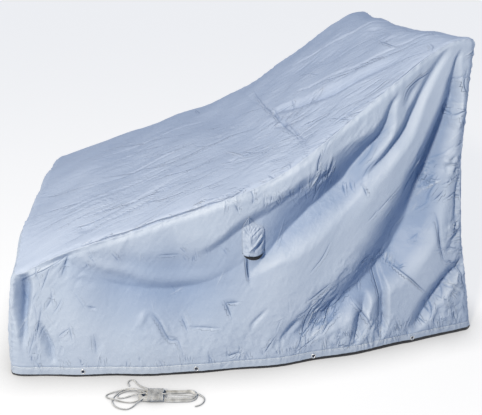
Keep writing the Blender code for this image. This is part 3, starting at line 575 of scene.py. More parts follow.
# Fine crumpling of each side, in zones: centre and half sizes (mm), the direction that its
# wrinkles run in (degrees), their length and width (mm), and their height (mm).
crumples = {
    "left": (
        (0, 250, 700, 420, 55, 90, 16, 0.45),
        (190, 160, 60, 75, 62, 46, 14, 4.8),
        (178, 530, 40, 48, 84, 50, 12, 6.5),
        (534, 660, 22, 52, 64, 30, 15, 9.5),
        (545, 522, 26, 34, 30, 26, 14, 11.0),
        (566, 330, 26, 34, 70, 34, 15, 8.5),
        (260, 250, 70, 50, 48, 60, 14, 3.0),
        (375, 262, 50, 32, 60, 26, 11, 3.4),
        (596, 185, 28, 74, 112, 40, 15, 9.5),
        (580, 80, 80, 60, 100, 30, 15, 5.0),
        (330, 66, 120, 50, 80, 40, 13, 4.4),
        (120, 66, 130, 46, 74, 44, 13, 3.6),
        (-90, 90, 120, 70, 110, 40, 14, 1.6),
        (-250, 120, 90, 70, 130, 50, 13, 1.6),
        (-560, 110, 70, 90, 75, 40, 12, 1.5),
        (-470, 300, 90, 60, 40, 46, 12, 1.0),
        (300, 620, 90, 60, 48, 70, 11, 1.6),
        (60, 470, 120, 34, 24, 50, 11, 1.8),
        (455, 520, 44, 60, 62, 60, 12, 4.0),
        (580, 340, 54, 90, 85, 60, 14, 3.4),
    ),
    "right": (
        (0, 250, 700, 420, 60, 90, 16, 0.6),
        (420, 480, 160, 200, 62, 70, 14, 2.0),
        (0, 70, 600, 44, 92, 40, 12, 2.2),
        (-540, 150, 90, 120, 100, 50, 13, 2.2),
        (580, 400, 60, 300, 90, 60, 14, 2.6),
        (60, 470, 260, 40, 24, 50, 11, 1.6),
    ),
    "top": (
        (0, 0, 520, 700, 100, 120, 14, 0.7),
        (240, -330, 160, 230, 109, 150, 11, 1.5),
        (60, -330, 160, 230, 107, 150, 12, 1.1),
        (-220, -300, 200, 260, 104, 140, 13, 1.2),
        (150, 180, 170, 110, 140, 40, 12, 1.8),
        (330, 90, 100, 160, 118, 60, 11, 1.7),
        (60, 20, 150, 120, 120, 60, 12, 1.5),
        (150, 330, 200, 180, 66, 150, 12, 1.2),
        (330, 400, 90, 200, 74, 120, 12, 1.2),
        (-200, 330, 220, 240, 80, 100, 13, 1.6),
        (60, 500, 220, 70, 20, 60, 12, 1.6),
    ),
    "front": (
        (0, 170, 460, 200, 95, 60, 14, 1.4),
        (0, 60, 460, 44, 92, 36, 12, 2.2),
        (400, 160, 70, 140, 95, 46, 12, 3.0),
        (-400, 160, 70, 140, 85, 46, 12, 2.6),
    ),
    "back": (
        (0, 420, 460, 460, 88, 90, 16, 1.5),
        (0, 60, 460, 44, 92, 40, 12, 2.4),
        (0, 790, 420, 60, 60, 40, 13, 2.2),
        (380, 400, 80, 360, 92, 60, 13, 2.6),
        (-380, 400, 80, 360, 88, 60, 13, 2.6),
    ),
}
crumpleForm = {
    "gain": 0.95,
    "edge": 0.01,  # a zone ends where its share is less than this
    "bend": 1.3,
    "bendSize": 2.6,
    "ridgeGain": 2.4,
    "ridgeShare": 0.65,
    "softSize": 0.8,
    "fullHeight": 3,  # zones at least this high have all of the material's crinkles
}


def crumpleRelief(a, b, zones, start):
    form = crumpleForm
    relief = np.zeros(a.shape)
    strength = np.zeros(a.shape)
    for number, (midA, midB, halfA, halfB, angle, long, wide, height) in enumerate(zones):
        reach = ((a / mm - midA) / halfA) ** 2 + ((b / mm - midB) / halfB) ** 2
        mask = np.exp(-(reach**1.5))
        near = mask > form["edge"]
        turn = math.radians(angle)
        along = (a[near] * math.cos(turn) + b[near] * math.sin(turn)) / (long * mm)
        across = (b[near] * math.cos(turn) - a[near] * math.sin(turn)) / (wide * mm)
        place = np.stack([along, across, np.full(along.shape, start + 3.7 * number)], axis=-1)
        place[..., 1] += form["bend"] * softNoise(place, form["bendSize"], 11.3)
        ridges = 1 - form["ridgeGain"] * np.abs(softNoise(place, 1.0))
        soft = softNoise(place, form["softSize"], 5.1)
        folds = form["ridgeShare"] * ridges + (1 - form["ridgeShare"]) * soft
        relief[near] += height * mm * form["gain"] * folds * mask[near]
        strength[near] = np.maximum(strength[near], mask[near] * min(1, height / form["fullHeight"]))
    return relief, strength


# Crisp lines pressed into the cloth, as their depth in mm (negative stands proud) and points in
# the same coordinates as the creases.
pressLines = {
    "left": (
        (1.6, ((220, 163), (208, 133), (191, 104), (173, 88))),
        (1.5, ((212, 213), (182, 191), (157, 168), (139, 132), (132, 99), (106, 37))),
        (1.3, ((203, 203), (180, 169), (170, 126), (149, 95))),
        (1.1, ((117, 75), (143, 96), (170, 114))),
        (1.1, ((102, 35), (131, 53), (169, 75))),
        (1.1, ((49, 92), (31, 71), (17, 51))),
        (1.3, ((385, 257), (433, 215), (491, 160))),
        (1.3, ((319, 247), (344, 252), (366, 258), (386, 266))),
        (1.7, ((350, 255), (354, 185), (354, 110), (354, 45))),
        (1.1, ((204, 42), (249, 34), (294, 38))),
        (1.1, ((278, 157), (308, 111), (328, 80))),
        (1.3, ((615, 221), (610, 188), (636, 129))),
        (0.84, ((-598, 280), (-565, 294), (-532, 307), (-480, 345))),
        (0.9, ((-478, 344), (-485, 318), (-495, 290))),
        (0.72, ((-521, 312), (-535, 285), (-551, 253))),
        (0.72, ((-554, 209), (-570, 148), (-583, 108))),
        (0.6, ((-581, 137), (-601, 69))),
        (0.6, ((-525, 235), (-545, 200))),
        (0.78, ((-275, 175), (-255, 140), (-235, 105), (-215, 100), (-205, 75))),
        (0.6, ((-200, 160), (-190, 125))),
        (0.6, ((-185, 135), (-140, 132), (-100, 130))),
        (1.1, ((-85, 200), (-70, 160))),
        (1.0, ((-85, 200), (-50, 200))),
        (1.0, ((-85, 45), (-50, 55))),
        (0.54, ((-250, 335), (-200, 335))),
        (0.48, ((-440, 205), (-420, 198))),
        (0.48, ((-430, 120), (-430, 70))),
        (2.0, ((-22, 318), (-22, 262))),
        (1.3, ((478, 548), (452, 508), (425, 478), (402, 452))),
        (-1.0, ((465, 553), (440, 522), (425, 500))),
        (1.5, ((198, 560), (190, 530), (194, 498))),
        (1.3, ((182, 552), (176, 520), (180, 492))),
        (1.2, ((212, 548), (206, 512))),
        (1.1, ((166, 538), (162, 505))),
        (1.4, ((519, 696), (515, 672), (531, 655))),
        (1.2, ((549, 765), (547, 728), (563, 702))),
        (1.3, ((550, 641), (564, 611))),
        (1.1, ((457, 766), (416, 746), (389, 725), (381, 700))),
        (1.2, ((512, 380), (528, 300), (545, 245))),
        (1.1, ((545, 245), (575, 236))),
    ),
    "top": (
        (1.2, ((76, 252), (149, 300), (190, 342), (225, 371), (261, 424), (284, 465))),
        (0.9, ((66, -599), (91, -505), (99, -428))),
        (0.9, ((201, -588), (196, -521), (200, -462))),
        (1.1, ((64, -415), (74, -323), (109, -216), (85, -90), (48, 8), (82, 74))),
        (1.0, ((-246, -439), (-192, -312), (-141, -207), (-109, -89))),
        (0.9, ((-99, -343), (-71, -226), (-59, -143))),
        (0.9, ((-21, -298), (28, -196), (5, -99))),
        (1.2, ((308, -438), (300, -372), (299, -290), (287, -208), (299, -126))),
        (1.2, ((341, -462), (342, -409), (322, -358))),
        (1.1, ((353, -347), (328, -277), (348, -196), (343, -129))),
        (1.0, ((199, -262), (216, -146), (170, -70))),
        (0.9, ((136, -246), (161, -187), (151, -113))),
        (1.7, ((431, -480), (431, -390), (435, -291), (442, -189), (445, -114), (445, -69), (426, -23))),
        (1.4, ((451, -78), (445, -39), (428, -15))),
        (-1.5, ((437, -158), (425, -122))),
        (1.2, ((-82, -74), (-89, -29))),
        (-1.2, ((159, -36), (251, 0))),
        (1.1, ((211, -1), (276, 49))),
        (1.2, ((-413, -78), (-329, -69))),
        (0.8, ((-114, 49), (-38, 119))),
        (1.0, ((-290, 129), (-108, 122), (53, 125), (190, 129), (338, 137), (414, 131))),
        (0.8, ((53, 133), (190, 137), (338, 145), (414, 140))),
        (1.3, ((29, 137), (183, 131), (229, 157), (241, 217))),
        (1.1, ((106, 429), (208, 425), (228, 437))),
        (0.8, ((163, 352), (224, 385), (252, 414))),
        (0.8, ((-106, 250), (9, 276))),
        (1.0, ((382, 228), (417, 270), (410, 321))),
        (1.1, ((348, 213), (421, 241))),
        (0.9, ((398, 332), (393, 395), (384, 447))),
        (0.9, ((368, 258), (379, 315), (384, 374))),
    ),
    "right": ((1.3, ((300, 240), (290, 170), (296, 100))), (1.2, ((-260, 230), (-300, 160), (-320, 110)))),
    "front": ((1.2, ((120, 250), (98, 190), (104, 130))), (1.2, ((-170, 210), (-156, 150), (-174, 90)))),
    "back": ((1.2, ((20, 780), (40, 660), (30, 560))), (1.2, ((220, 320), (206, 200), (222, 90)))),
}
# More of them strewn in zones: centre and half sizes (mm), direction and its spread (degrees),
# length (mm), how many, and depth (mm).
strewnLines = {
    "left": (
        (585, 450, 40, 330, 5, 35, 34, 70, 1.0),
        (560, 90, 90, 60, 100, 40, 40, 26, 1.1),
        (330, 52, 150, 26, 95, 30, 30, 34, 0.9),
        (0, 44, 620, 14, 92, 22, 20, 70, 0.7),
        (190, 150, 80, 60, 50, 30, 46, 22, 1.2),
        (170, 520, 50, 40, 84, 18, 40, 10, 1.1),
        (480, 480, 40, 70, 60, 25, 40, 16, 1.0),
        (380, 262, 50, 24, 50, 40, 26, 14, 1.1),
        (60, 480, 170, 22, 100, 25, 22, 22, 0.8),
        (-300, 330, 300, 24, 100, 30, 20, 14, 0.5),
        (-560, 150, 50, 110, 80, 35, 36, 12, 0.6),
        (-150, 150, 260, 110, 70, 60, 36, 12, 0.45),
        (300, 500, 260, 200, 55, 14, 60, 22, 0.5),
        (430, 360, 80, 80, 55, 25, 40, 12, 0.6),
    ),
    "top": (
        (250, -300, 150, 170, 104, 7, 130, 46, 0.5),
        (40, -300, 170, 200, 104, 8, 120, 30, 0.38),
        (-220, -280, 180, 230, 104, 9, 110, 22, 0.34),
        (300, 60, 110, 160, 75, 18, 50, 34, 0.8),
        (150, 150, 130, 70, 110, 50, 34, 22, 0.9),
        (370, 230, 70, 120, 80, 16, 60, 26, 0.7),
        (120, 330, 160, 150, 52, 8, 110, 12, 0.5),
        (440, -150, 14, 260, 60, 50, 18, 26, 0.8),
        (430, 250, 16, 260, 50, 50, 20, 30, 0.8),
        (-100, 300, 250, 200, 60, 30, 60, 20, 0.45),
        (100, 480, 260, 60, 15, 40, 40, 18, 0.6),
        (-80, 50, 200, 160, 70, 40, 50, 22, 0.5),
    ),
    "right": (
        (585, 430, 40, 320, 5, 35, 34, 50, 1.0),
        (0, 46, 620, 16, 92, 22, 22, 60, 0.8),
        (430, 400, 140, 260, 60, 18, 60, 40, 0.8),
        (-200, 180, 360, 110, 80, 50, 40, 40, 0.7),
        (-300, 330, 300, 24, 100, 30, 20, 24, 0.6),
    ),
    "front": (
        (0, 170, 400, 110, 90, 40, 40, 40, 0.8),
        (0, 46, 440, 16, 92, 22, 22, 40, 0.8),
        (0, 290, 400, 20, 92, 30, 20, 24, 0.7),
    ),
    "back": (
        (0, 420, 420, 380, 88, 30, 60, 70, 0.8),
        (0, 46, 440, 16, 92, 22, 22, 40, 0.8),
        (0, 790, 400, 26, 92, 30, 24, 30, 0.8),
    ),
}
strewing = {
    "scatter": 0.6,
    "farthest": 1.4,
    "halfLengths": (0.3, 0.8),
    "bow": 0.12,
    "depths": (0.5, 1.25),
    "signs": (1, 1, -0.8),
}
lineReach = 0.009


def strewLines(zones, seed):
    draw = np.random.default_rng(seed)
    lines = []
    farthest, bow = strewing["farthest"], strewing["bow"]
    for midA, midB, halfA, halfB, angle, spread, length, count, depth in zones:
        for _ in range(count):
            place = draw.normal(0, strewing["scatter"], 2).clip(-farthest, farthest)
            middle = place * (halfA, halfB) + (midA, midB)
            turn = math.radians(angle + spread * draw.uniform(-1, 1))
            half = length * draw.uniform(*strewing["halfLengths"])
            step = np.array([math.cos(turn), math.sin(turn)])
            bowed = np.array([-step[1], step[0]]) * half * draw.uniform(-bow, bow)
            deep = depth * draw.uniform(*strewing["depths"]) * draw.choice(strewing["signs"])
            lines.append((deep, (middle - step * half, middle + bowed, middle + step * half)))
    return lines


def flatLine(table, spacing):
    # a smooth line through points given in mm by two coordinates
    return smoothLine(np.pad(np.array(table, float), ((0, 0), (0, 1))) * mm, spacing)


def lineField(a, b, lines):
    # how far each point is from the nearest pressed line, by side, and how deep that line is
    distance = np.full(a.shape, 2 * lineReach)
    depth = np.zeros(a.shape)
    for deep, table in lines:
        line = flatLine(table, lineSpacing)
        near = nearLine(a, b, line, lineReach)
        nearA, nearB = a[near], b[near]
        best = distance[near]
        found = depth[near]
        for i, (start, end) in enumerate(zip(line[:-1], line[1:])):
            t, gap, side = toSegment(nearA, nearB, start, end)
            closer = gap < np.minimum(np.abs(best), lineReach)
            best[closer] = np.where(side < 0, -gap, gap)[closer]
            share = (i + t) / (len(line) - 1)
            found[closer] = (deep * np.sqrt(np.sin(np.pi * share.clip(0.02, 0.98))))[closer]
        distance[near] = best
        depth[near] = found
    return distance, depth


# ---- seams, hem and the cloth's surface
longSides = ("left", "right")
turnedSides = ("right", "back")  # their grids run the other way round
coverCloth = {
    "thickness": 0.0011,
    "probe": 0.0005,
    "wander": 0.003,
    "wanderSize": 0.055,
    "foldFade": 0.016,
    "lineFade": 0.006,
    "foldGain": 1.3,
    "fullShadeDepth": 0.030,
    "sway": 0.0024,
    "swaySize": 0.17,
    "seamRoll": 0.0024,
    "seamRollWidth": 0.0052,
    "seamRollLevel": 0.75,
    "seamPucker": 0.011,
    "gather": 0.0026,
    "gatherSize": 0.013,
    "gatherLong": 0.05,
    "gatherReach": 0.021,
    "gatherPatch": 0.12,
    "cornerReach": 0.02,
}
hemBand = {
    "height": 0.028,
    "thickness": 0.0021,
    "groove": 0.0026,
    "grooveTop": 0.0035,
    "grooveReach": 0.004,
    "pucker": 0.0016,
    "puckerSize": 0.010,
    "puckerReach": 0.013,
    "stitchDrop": 0.0026,
    "stitchDent": 0.0007,
    "stitchDentWidth": 0.0014,
    "sideLength": 1.345,
    "endLength": 0.915,
    "sideEyelets": (-0.470, -0.168, 0.160, 0.466),
    "endEyelets": (-0.210, 0.210),
    "eyeletHeight": 0.0152,
    "calm": 0.012,
}
clothGrain = {
    "topLean": ((-0.68, -0.12, 0.15, 0.5), (-0.30, -0.26, 0.45, 0.75)),  # by y
    "topReach": 0.7,
    "topSteps": 57,
    "sideLean": (0.84, 0.54),
}


def boxPoint(kind, along, rise):
    if kind == "top":
        return along, rise, np.ones_like(along)
    if kind in longSides:
        return np.full_like(along, halfWidth if kind == "left" else -halfWidth), along, rise
    return along, np.full_like(along, halfLength if kind == "back" else -halfLength), rise


def sideReading(kind, points):
    # the two coordinates that a side's creases are given in
    if kind in longSides:
        return points[..., 1], points[..., 2]
    return points[..., 0], points[..., 1 if kind == "top" else 2]


def eyeletRow(kind):
    return hemBand["sideEyelets" if kind in longSides else "endEyelets"]


def eyeletCalm(kind, a, b):
    if kind == "top":
        return np.ones_like(a)
    upright = b - hemBand["eyeletHeight"]
    nearest = np.min([np.hypot(a - place, upright) for place in eyeletRow(kind)], axis=0)
    return smoothStep(nearest - hemBand["calm"], 2.2 * hemBand["calm"])


def grainPlace(kind, points):
    # the cloth's faint long wrinkles lie where this stays the same; on the top they fan out
    if kind == "top":
        y = points[..., 1]
        bend = np.linspace(-clothGrain["topReach"], clothGrain["topReach"], clothGrain["topSteps"])
        leans = np.interp(bend, *clothGrain["topLean"])
        shift = np.concatenate([[0], np.cumsum((leans[1:] + leans[:-1]) / 2 * np.diff(bend))])
        lean = np.interp(y, *clothGrain["topLean"])
        return (points[..., 0] - np.interp(y, bend, shift)) / np.hypot(1, lean)
    if kind in longSides:
        return points[..., 1] * clothGrain["sideLean"][0] - points[..., 2] * clothGrain["sideLean"][1]
    return points[..., 0]


def outwardFrom(kind, along, rise):
    probe = coverCloth["probe"]
    tangents = []
    for stepAlong, stepUp in ((probe, 0), (0, probe)):
        ahead = hungPoint(*boxPoint(kind, along + stepAlong, rise + stepUp))
        behind = hungPoint(*boxPoint(kind, along - stepAlong, rise - stepUp))
        tangents.append(ahead - behind)
    outward = np.cross(*tangents) * (-1 if kind in turnedSides else 1)
    return outward / np.linalg.norm(outward, axis=-1, keepdims=True)


def hemRelief(points, calm, onHem):
    # puckers along the hem's upper edge, and the dent that its stitching pulls in
    band = hemBand
    toLine = points[..., 2] - band["height"]
    gather = np.exp(-((toLine / band["puckerReach"]) ** 2)) * calm
    relief = band["pucker"] * gather * softNoise(points * (1, 1, 0.35), band["puckerSize"], 2.0)
    if onHem:
        toStitches = (toLine + band["stitchDrop"]) / band["stitchDentWidth"]
        return relief - band["stitchDent"] * np.exp(-(toStitches**2))
    return relief - band["groove"] * smoothStep(band["grooveTop"] - toLine, band["grooveReach"])


def clothSurface(kind, along, rise, onHem=False):
    # outer points of one side, their outward directions, and the masks that its material reads
    cloth = coverCloth
    x, y, topRise = boxPoint(kind, along, rise)
    points = hungPoint(x, y, topRise)
    outward = outwardFrom(kind, along, rise)

    # how far each point is from the seams at the side's ends, and from the one along its edge
    toEnds = halfLength - np.abs(y) if kind in longSides else halfWidth - np.abs(x)
    toEdge = halfLength - np.abs(y) if kind == "top" else (1 - topRise) * heightAt(y)
    toSeam = np.minimum(toEnds, toEdge)

    # places are read with a slight wander, so that no crease is ruled straight
    a, b = sideReading(kind, points)
    alongSeam = np.where(toEdge < toEnds, a, b)
    a = a + cloth["wander"] * softNoise(points, cloth["wanderSize"], 20.0)
    b = b + cloth["wander"] * softNoise(points, cloth["wanderSize"], 29.0)
    start = 40 * list(creases).index(kind)
    folds = cloth["foldGain"] * creaseRelief(a, b, creases[kind])
    crumple, crumpled = crumpleRelief(a, b, crumples[kind], start)
    pressed = pressLines[kind] + tuple(strewLines(strewnLines[kind], 100 + start))
    lineDistance, lineDepth = lineField(a, b, pressed)
    sway = cloth["sway"] * softNoise(points, cloth["swaySize"], 31.0)
    fade = smoothStep(toSeam, cloth["foldFade"])
    calm = eyeletCalm(kind, a, points[..., 2])
    relief = (folds + crumple + sway) * fade * calm + seamWaver(points)

    pucker = softNoise(points, cloth["seamPucker"], 4.0)
    roll = np.exp(-((toSeam / cloth["seamRollWidth"]) ** 2))
    relief += cloth["seamRoll"] * roll * (cloth["seamRollLevel"] + pucker)
    # gathers that run from the seam into the cloth
    ruckPlace = np.stack([alongSeam / cloth["gatherSize"], toSeam / cloth["gatherLong"],
                          np.full_like(toSeam, 3.0)], axis=-1)
    ruck = softNoise(ruckPlace, 1.0) * np.exp(-toSeam / cloth["gatherReach"])
    ruck *= 0.6 + 0.8 * softNoise(points, cloth["gatherPatch"], 17.0)
    corner = smoothStep(np.abs(toEdge - toEnds), cloth["cornerReach"])
    relief += cloth["gather"] * ruck * corner * calm
    if kind != "top":
        relief += hemRelief(points, calm, onHem)
    masks = {
        # painted shade: how far the colour is darkened towards the shade colour in the folds' troughs
        "paintedFoldShade": np.clip(-folds * fade / cloth["fullShadeDepth"], 0, 1),
        "crumple": crumpled,
        "grain": grainPlace(kind, points),
        "lineDistance": lineDistance,
        "lineDepth": lineDepth * smoothStep(toSeam, cloth["lineFade"]),
    }
    return points + outward * relief[..., None], outward, masks


fineSteps = np.array([0, 0.0014, 0.0028, 0.0044, 0.0062, 0.0085, 0.0115, 0.015])


def gridSteps(low, high, count):
    # positions from low to high, closely spaced beside both ends
    first = np.asarray(low, float)[..., None] + fineSteps
    last = np.asarray(high, float)[..., None] - fineSteps[::-1]
    share = np.linspace(0, 1, count + 1)[1:-1]
    between = first[..., -1:] + share * (last[..., :1] - first[..., -1:])
    return np.concatenate([first, between, last], axis=-1)


def gridPiece(name, points, uv, masks, turned=False):
    # a sheet of faces from a grid of points, with its UV in metres and its masks as attributes
    if turned:
        points, uv = points[:, ::-1], uv[:, ::-1]
        masks = {key: mask[:, ::-1] for key, mask in masks.items()}
    rows, columns = points.shape[:2]
    builder = bmesh.new()
    bmesh.ops.create_grid(builder, x_segments=columns - 1, y_segments=rows - 1, size=1)
    mesh = bpy.data.meshes.new(name)
    builder.to_mesh(mesh)
    builder.free()
    flat = np.zeros(len(mesh.vertices) * 3)
    mesh.vertices.foreach_get("co", flat)
    flat = flat.reshape(-1, 3)
    column = np.rint((flat[:, 0] + 1) / 2 * (columns - 1)).astype(int)
    row = np.rint((flat[:, 1] + 1) / 2 * (rows - 1)).astype(int)
    mesh.vertices.foreach_set("co", points[row, column].ravel())
    corners = np.zeros(len(mesh.loops), int)
    mesh.loops.foreach_get("vertex_index", corners)
    layer = mesh.uv_layers.new(name="cloth")
    layer.data.foreach_set("uv", uv[row, column][corners].ravel())
    for key, mask in masks.items():
        attribute = mesh.attributes.new(key, "FLOAT", "POINT")
        attribute.data.foreach_set("value", mask[row, column].astype(float))
    mesh.update()
    mesh.shade_smooth()
    return addObject(name, mesh)


def thicken(piece, thickness):
    wall = piece.modifiers.new("thickness", "SOLIDIFY")
    wall.thickness = thickness
    wall.offset = -1


def edgeY(kind, along):
    # the y of places along a side's lower edge, before it is hung
    return boxPoint(kind, along, along)[1]


# Each side's node, its grid, and the size and area it is cut to.
clothSides = {
    "left": {"node": "side_panel_left", "columns": 312, "rows": 132, "cut": (1.34, 0.86), "area": 0.72},
    "right": {"node": "side_panel_right", "columns": 210, "rows": 92, "cut": (1.34, 0.86), "area": 0.69},
    "front": {"node": "front_panel", "columns": 150, "rows": 54, "cut": (0.92, 0.34), "area": 0.29},
    "back": {"node": "back_panel", "columns": 150, "rows": 130, "cut": (0.92, 0.86), "area": 0.72},
    "top": {"node": "top_panel", "columns": 168, "rows": 248, "cut": (0.96, 1.58), "area": 1.20},
}
hemOverlap = 0.007
pieces = {}
# The black netting behind the vent, which also paints the shadow under the hood's mouth: its upper edge
# (m), and the lower edge that shows under the hood, as y and z in mm.
netAndShadowTop = 0.333
netSpacing = 0.003
netAndShadowEdge = ((-36, 330), (-32, 323), (-27, 316), (-19, 309), (-8, 306), (6, 306), (14, 310), (20, 318),
           (25, 328))


def ventNetAndShadowField(y, z):
    # above 0 on the black netting, which also paints the hood's shadow, and how far inside it
    low = flatLine(netAndShadowEdge, netSpacing)
    sideways = np.minimum(y - low[0, 0], low[-1, 0] - y)
    upright = np.minimum(z - np.interp(y, low[:, 0], low[:, 1]), netAndShadowTop - z)
    return np.minimum(upright, sideways)


def makeSide(kind, side):
    span = halfLength if kind in longSides else halfWidth
    along = gridSteps(-span, span, side["columns"])
    if kind == "top":
        rows = gridSteps(-halfLength, halfLength, side["rows"])
        along, rise = np.meshgrid(along, rows)
        steps = np.hypot(np.diff(rows), np.diff(heightAt(rows)))
        up = np.concatenate([[0], np.cumsum(steps)])[:, None] + 0 * rise
    else:
        height = heightAt(edgeY(kind, along))
        up = gridSteps(np.full_like(height, hemBand["height"] - hemOverlap), height, side["rows"]).T
        rise = up / height
        along = np.broadcast_to(along, rise.shape)
    points, _, masks = clothSurface(kind, along, rise)
    if kind == "left":
        # the black netting, which also paints the shadow under the hood's mouth
        masks["vent"] = ventNetAndShadowField(points[..., 1], points[..., 2])
    uv = np.stack([along, up], axis=-1)
    piece = gridPiece(f"{kind}Cloth", points, uv, masks, turned=kind in turnedSides)
    thicken(piece, coverCloth["thickness"])
    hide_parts(side["node"])
    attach(piece, "root")
    "top_cloth" if kind == "top" else "side_cloth"
    pieces[kind] = piece
    print(f"{kind} cloth made")


for kind, side in clothSides.items():
    makeSide(kind, side)


# ---- hems: a doubled band along the bottom, with holes for the eyelets
hemGrid = {"side": 560, "end": 380, "rows": 11}
# The lower edge's height off the floor, and the height where the outer cloth ends and the black lining
# shows, in metres; that black band also paints the shadow under the lifted hem. A wave is its height, its
# length and where it starts in the noise.
hemEdge = {
    "lift": 0.0016,
    "waves": ((0.0008, 0.16, 50.0), (0.0004, 0.03, 0.0)),
    "least": 0.0006,
    "starts": {"left": 0.0, "right": 3.0, "front": 6.0, "back": 9.0},
    "tucks": ((0.0007, 0.0016), (0.0009, 0.0011)),  # depth and reach at the lower edge and the upper one
}
liningAndShadow = {
    "height": 0.0086,
    "waves": ((0.0010, 0.09, 70.0), (0.0006, 0.018, 71.0)),
    "backLift": 0.0026,
    "backFrom": 0.05,
    "frontDrop": 0.0012,
    "frontFrom": 0.2,
    "changeOver": 0.3,
}
eyeletForm = {
    "hole": 0.0040,
    "drillGap": 0.0007,
    "drillSides": 28,
    "drillDepth": 0.014,
    "flange": 0.0074,
    "crown": 0.0009,
    "barrelGap": 0.0005,
    "segments": 40,
    "profileSteps": 6,
}


def edgeWaves(along, waves, start=0.0):
    places = np.stack([along, 0 * along, 0 * along], axis=-1)
    return sum(height * softNoise(places, size, at + start) for height, size, at in waves)


def liningAndShadowEdge(kind, along):
    edge = liningAndShadow["height"] + edgeWaves(along, liningAndShadow["waves"])
    if kind == "left":
        edge += liningAndShadow["backLift"] * smoothStep(along - liningAndShadow["backFrom"], liningAndShadow["changeOver"])
        edge -= liningAndShadow["frontDrop"] * smoothStep(-liningAndShadow["frontFrom"] - along, liningAndShadow["changeOver"])
    return edge


def makeHem(kind):
    upright = kind in longSides
    span = halfLength if upright else halfWidth
    along = np.linspace(-span, span, hemGrid["side" if upright else "end"])
    share = np.linspace(0, 1, hemGrid["rows"])[:, None]
    low = hemEdge["lift"] + edgeWaves(along, hemEdge["waves"], hemEdge["starts"][kind])
    low = np.maximum(low, hemEdge["least"])
    up = low + (hemBand["height"] - low) * share
    rise = up / heightAt(edgeY(kind, along))
    along = np.broadcast_to(along, rise.shape)
    points, outward, masks = clothSurface(kind, along, rise, onHem=True)
    # the black lining band, which also paints the shadow under the lifted hem
    masks["liningAndShadow"] = liningAndShadowEdge(kind, along) - up
    (lowTuck, lowReach), (highTuck, highReach) = hemEdge["tucks"]
    tuck = lowTuck * np.exp(-((up - low) / lowReach))
    tuck += highTuck * np.exp(-((hemBand["height"] - up) / highReach))
    return points - outward * tuck[..., None], outward, np.stack([along, up], axis=-1), masks


def facing(centre, face):
    return Matrix.Translation(centre) @ Vector(face).to_track_quat("Z", "Y").to_matrix().to_4x4()


def addRod(builder, radius, depth, sides, centre, face):
    bmesh.ops.create_cone(builder, cap_ends=True, segments=sides, radius1=radius, radius2=radius,
                          depth=depth, matrix=facing(centre, face))


def linkMesh(builder, name, smooth=True):
    mesh = bpy.data.meshes.new(name)
    builder.to_mesh(mesh)
    builder.free()
    if smooth:
        mesh.shade_smooth()
    return addObject(name, mesh)


def cutHoles(piece, places):
    drills = bmesh.new()
    for centre, face in places:
        addRod(drills, eyeletForm["hole"] + eyeletForm["drillGap"], eyeletForm["drillDepth"],
               eyeletForm["drillSides"], centre, face)
    drill = linkMesh(drills, "hemDrill", smooth=False)
    cut = piece.modifiers.new("holes", "BOOLEAN")
    cut.operation = "DIFFERENCE"
    cut.solver = "EXACT"
    cut.object = drill
    # the hem keeps what its modifiers make of it
    bpy.context.view_layer.update()
    mesh = bpy.data.meshes.new_from_object(piece.evaluated_get(bpy.context.evaluated_depsgraph_get()))
    piece.modifiers.clear()
    piece.data = mesh
    bpy.data.objects.remove(drill, do_unlink=True)


def makeEyelet(name, node, centre, face):
    # a pressed ring: a rolled flange on both faces of the hem and a barrel through it
    form = eyeletForm
    builder = bmesh.new()
    half = hemBand["thickness"] / 2
    middle = (form["hole"] + form["flange"]) / 2
    reach = (form["flange"] - form["hole"]) / 2
    outline = []
    for turn in np.linspace(0, math.pi, form["profileSteps"] + 1):
        outline.append((middle + reach * math.cos(turn), half + form["crown"] * math.sin(turn)))
    barrel = form["hole"] + form["barrelGap"]
    profile = outline + [(radius, -height) for radius, height in reversed(outline)]
    profile += [(barrel, -half), (barrel, half)]
    points = [builder.verts.new((radius, 0, height)) for radius, height in profile]
    edges = [builder.edges.new(pair) for pair in zip(points, points[1:] + points[:1])]
    bmesh.ops.spin(builder, geom=points + edges, axis=(0, 0, 1), cent=(0, 0, 0), angle=2 * math.pi,
                   steps=form["segments"], use_merge=True)
    bmesh.ops.remove_doubles(builder, verts=builder.verts, dist=0.00001)
    bmesh.ops.recalc_face_normals(builder, faces=builder.faces)
    bmesh.ops.transform(builder, matrix=facing(centre, face), verts=builder.verts)
    ring = linkMesh(builder, name)
    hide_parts(node)
    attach(ring, "root")
    return ring


def eyeletPlaces(kind, points, outward):
    # the hem's own surface beside each CAD eyelet gives the way that the ring faces
    places = []
    for number in range(1, len(eyeletRow(kind)) + 1):
        low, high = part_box(f"eyelet_{kind}_{number}")
        centre = (low + high) / 2
        gap = np.linalg.norm(points - np.array(centre), axis=-1)
        nearest = np.unravel_index(gap.argmin(), gap.shape)
        places.append((centre, outward[nearest]))
    return places


eyelets = []
hemPaths = {}
for kind in ("left", "right", "front", "back"):
    points, outward, uv, masks = makeHem(kind)
    places = eyeletPlaces(kind, points, outward)
    hem = gridPiece(f"{kind}Hem", points, uv, masks, turned=kind in turnedSides)
    thicken(hem, hemBand["thickness"])
    cutHoles(hem, places)
    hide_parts(f"hem_{kind}")
    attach(hem, "root")
    long = hemBand["sideLength" if kind in longSides else "endLength"]
    pieces[f"{kind}Hem"] = hem
    hemPaths[kind] = (points, outward, uv)
    for number, (centre, face) in enumerate(places, start=1):
        eyelets.append(makeEyelet(f"{kind}Eyelet{number}", f"eyelet_{kind}_{number}", centre, face))
print("hems and eyelets made")


# ---- stitching along the hem and the hood
stitching = {"spacing": 0.0052, "length": 0.0036, "radius": 0.00042, "raised": 0.7, "sides": 6}


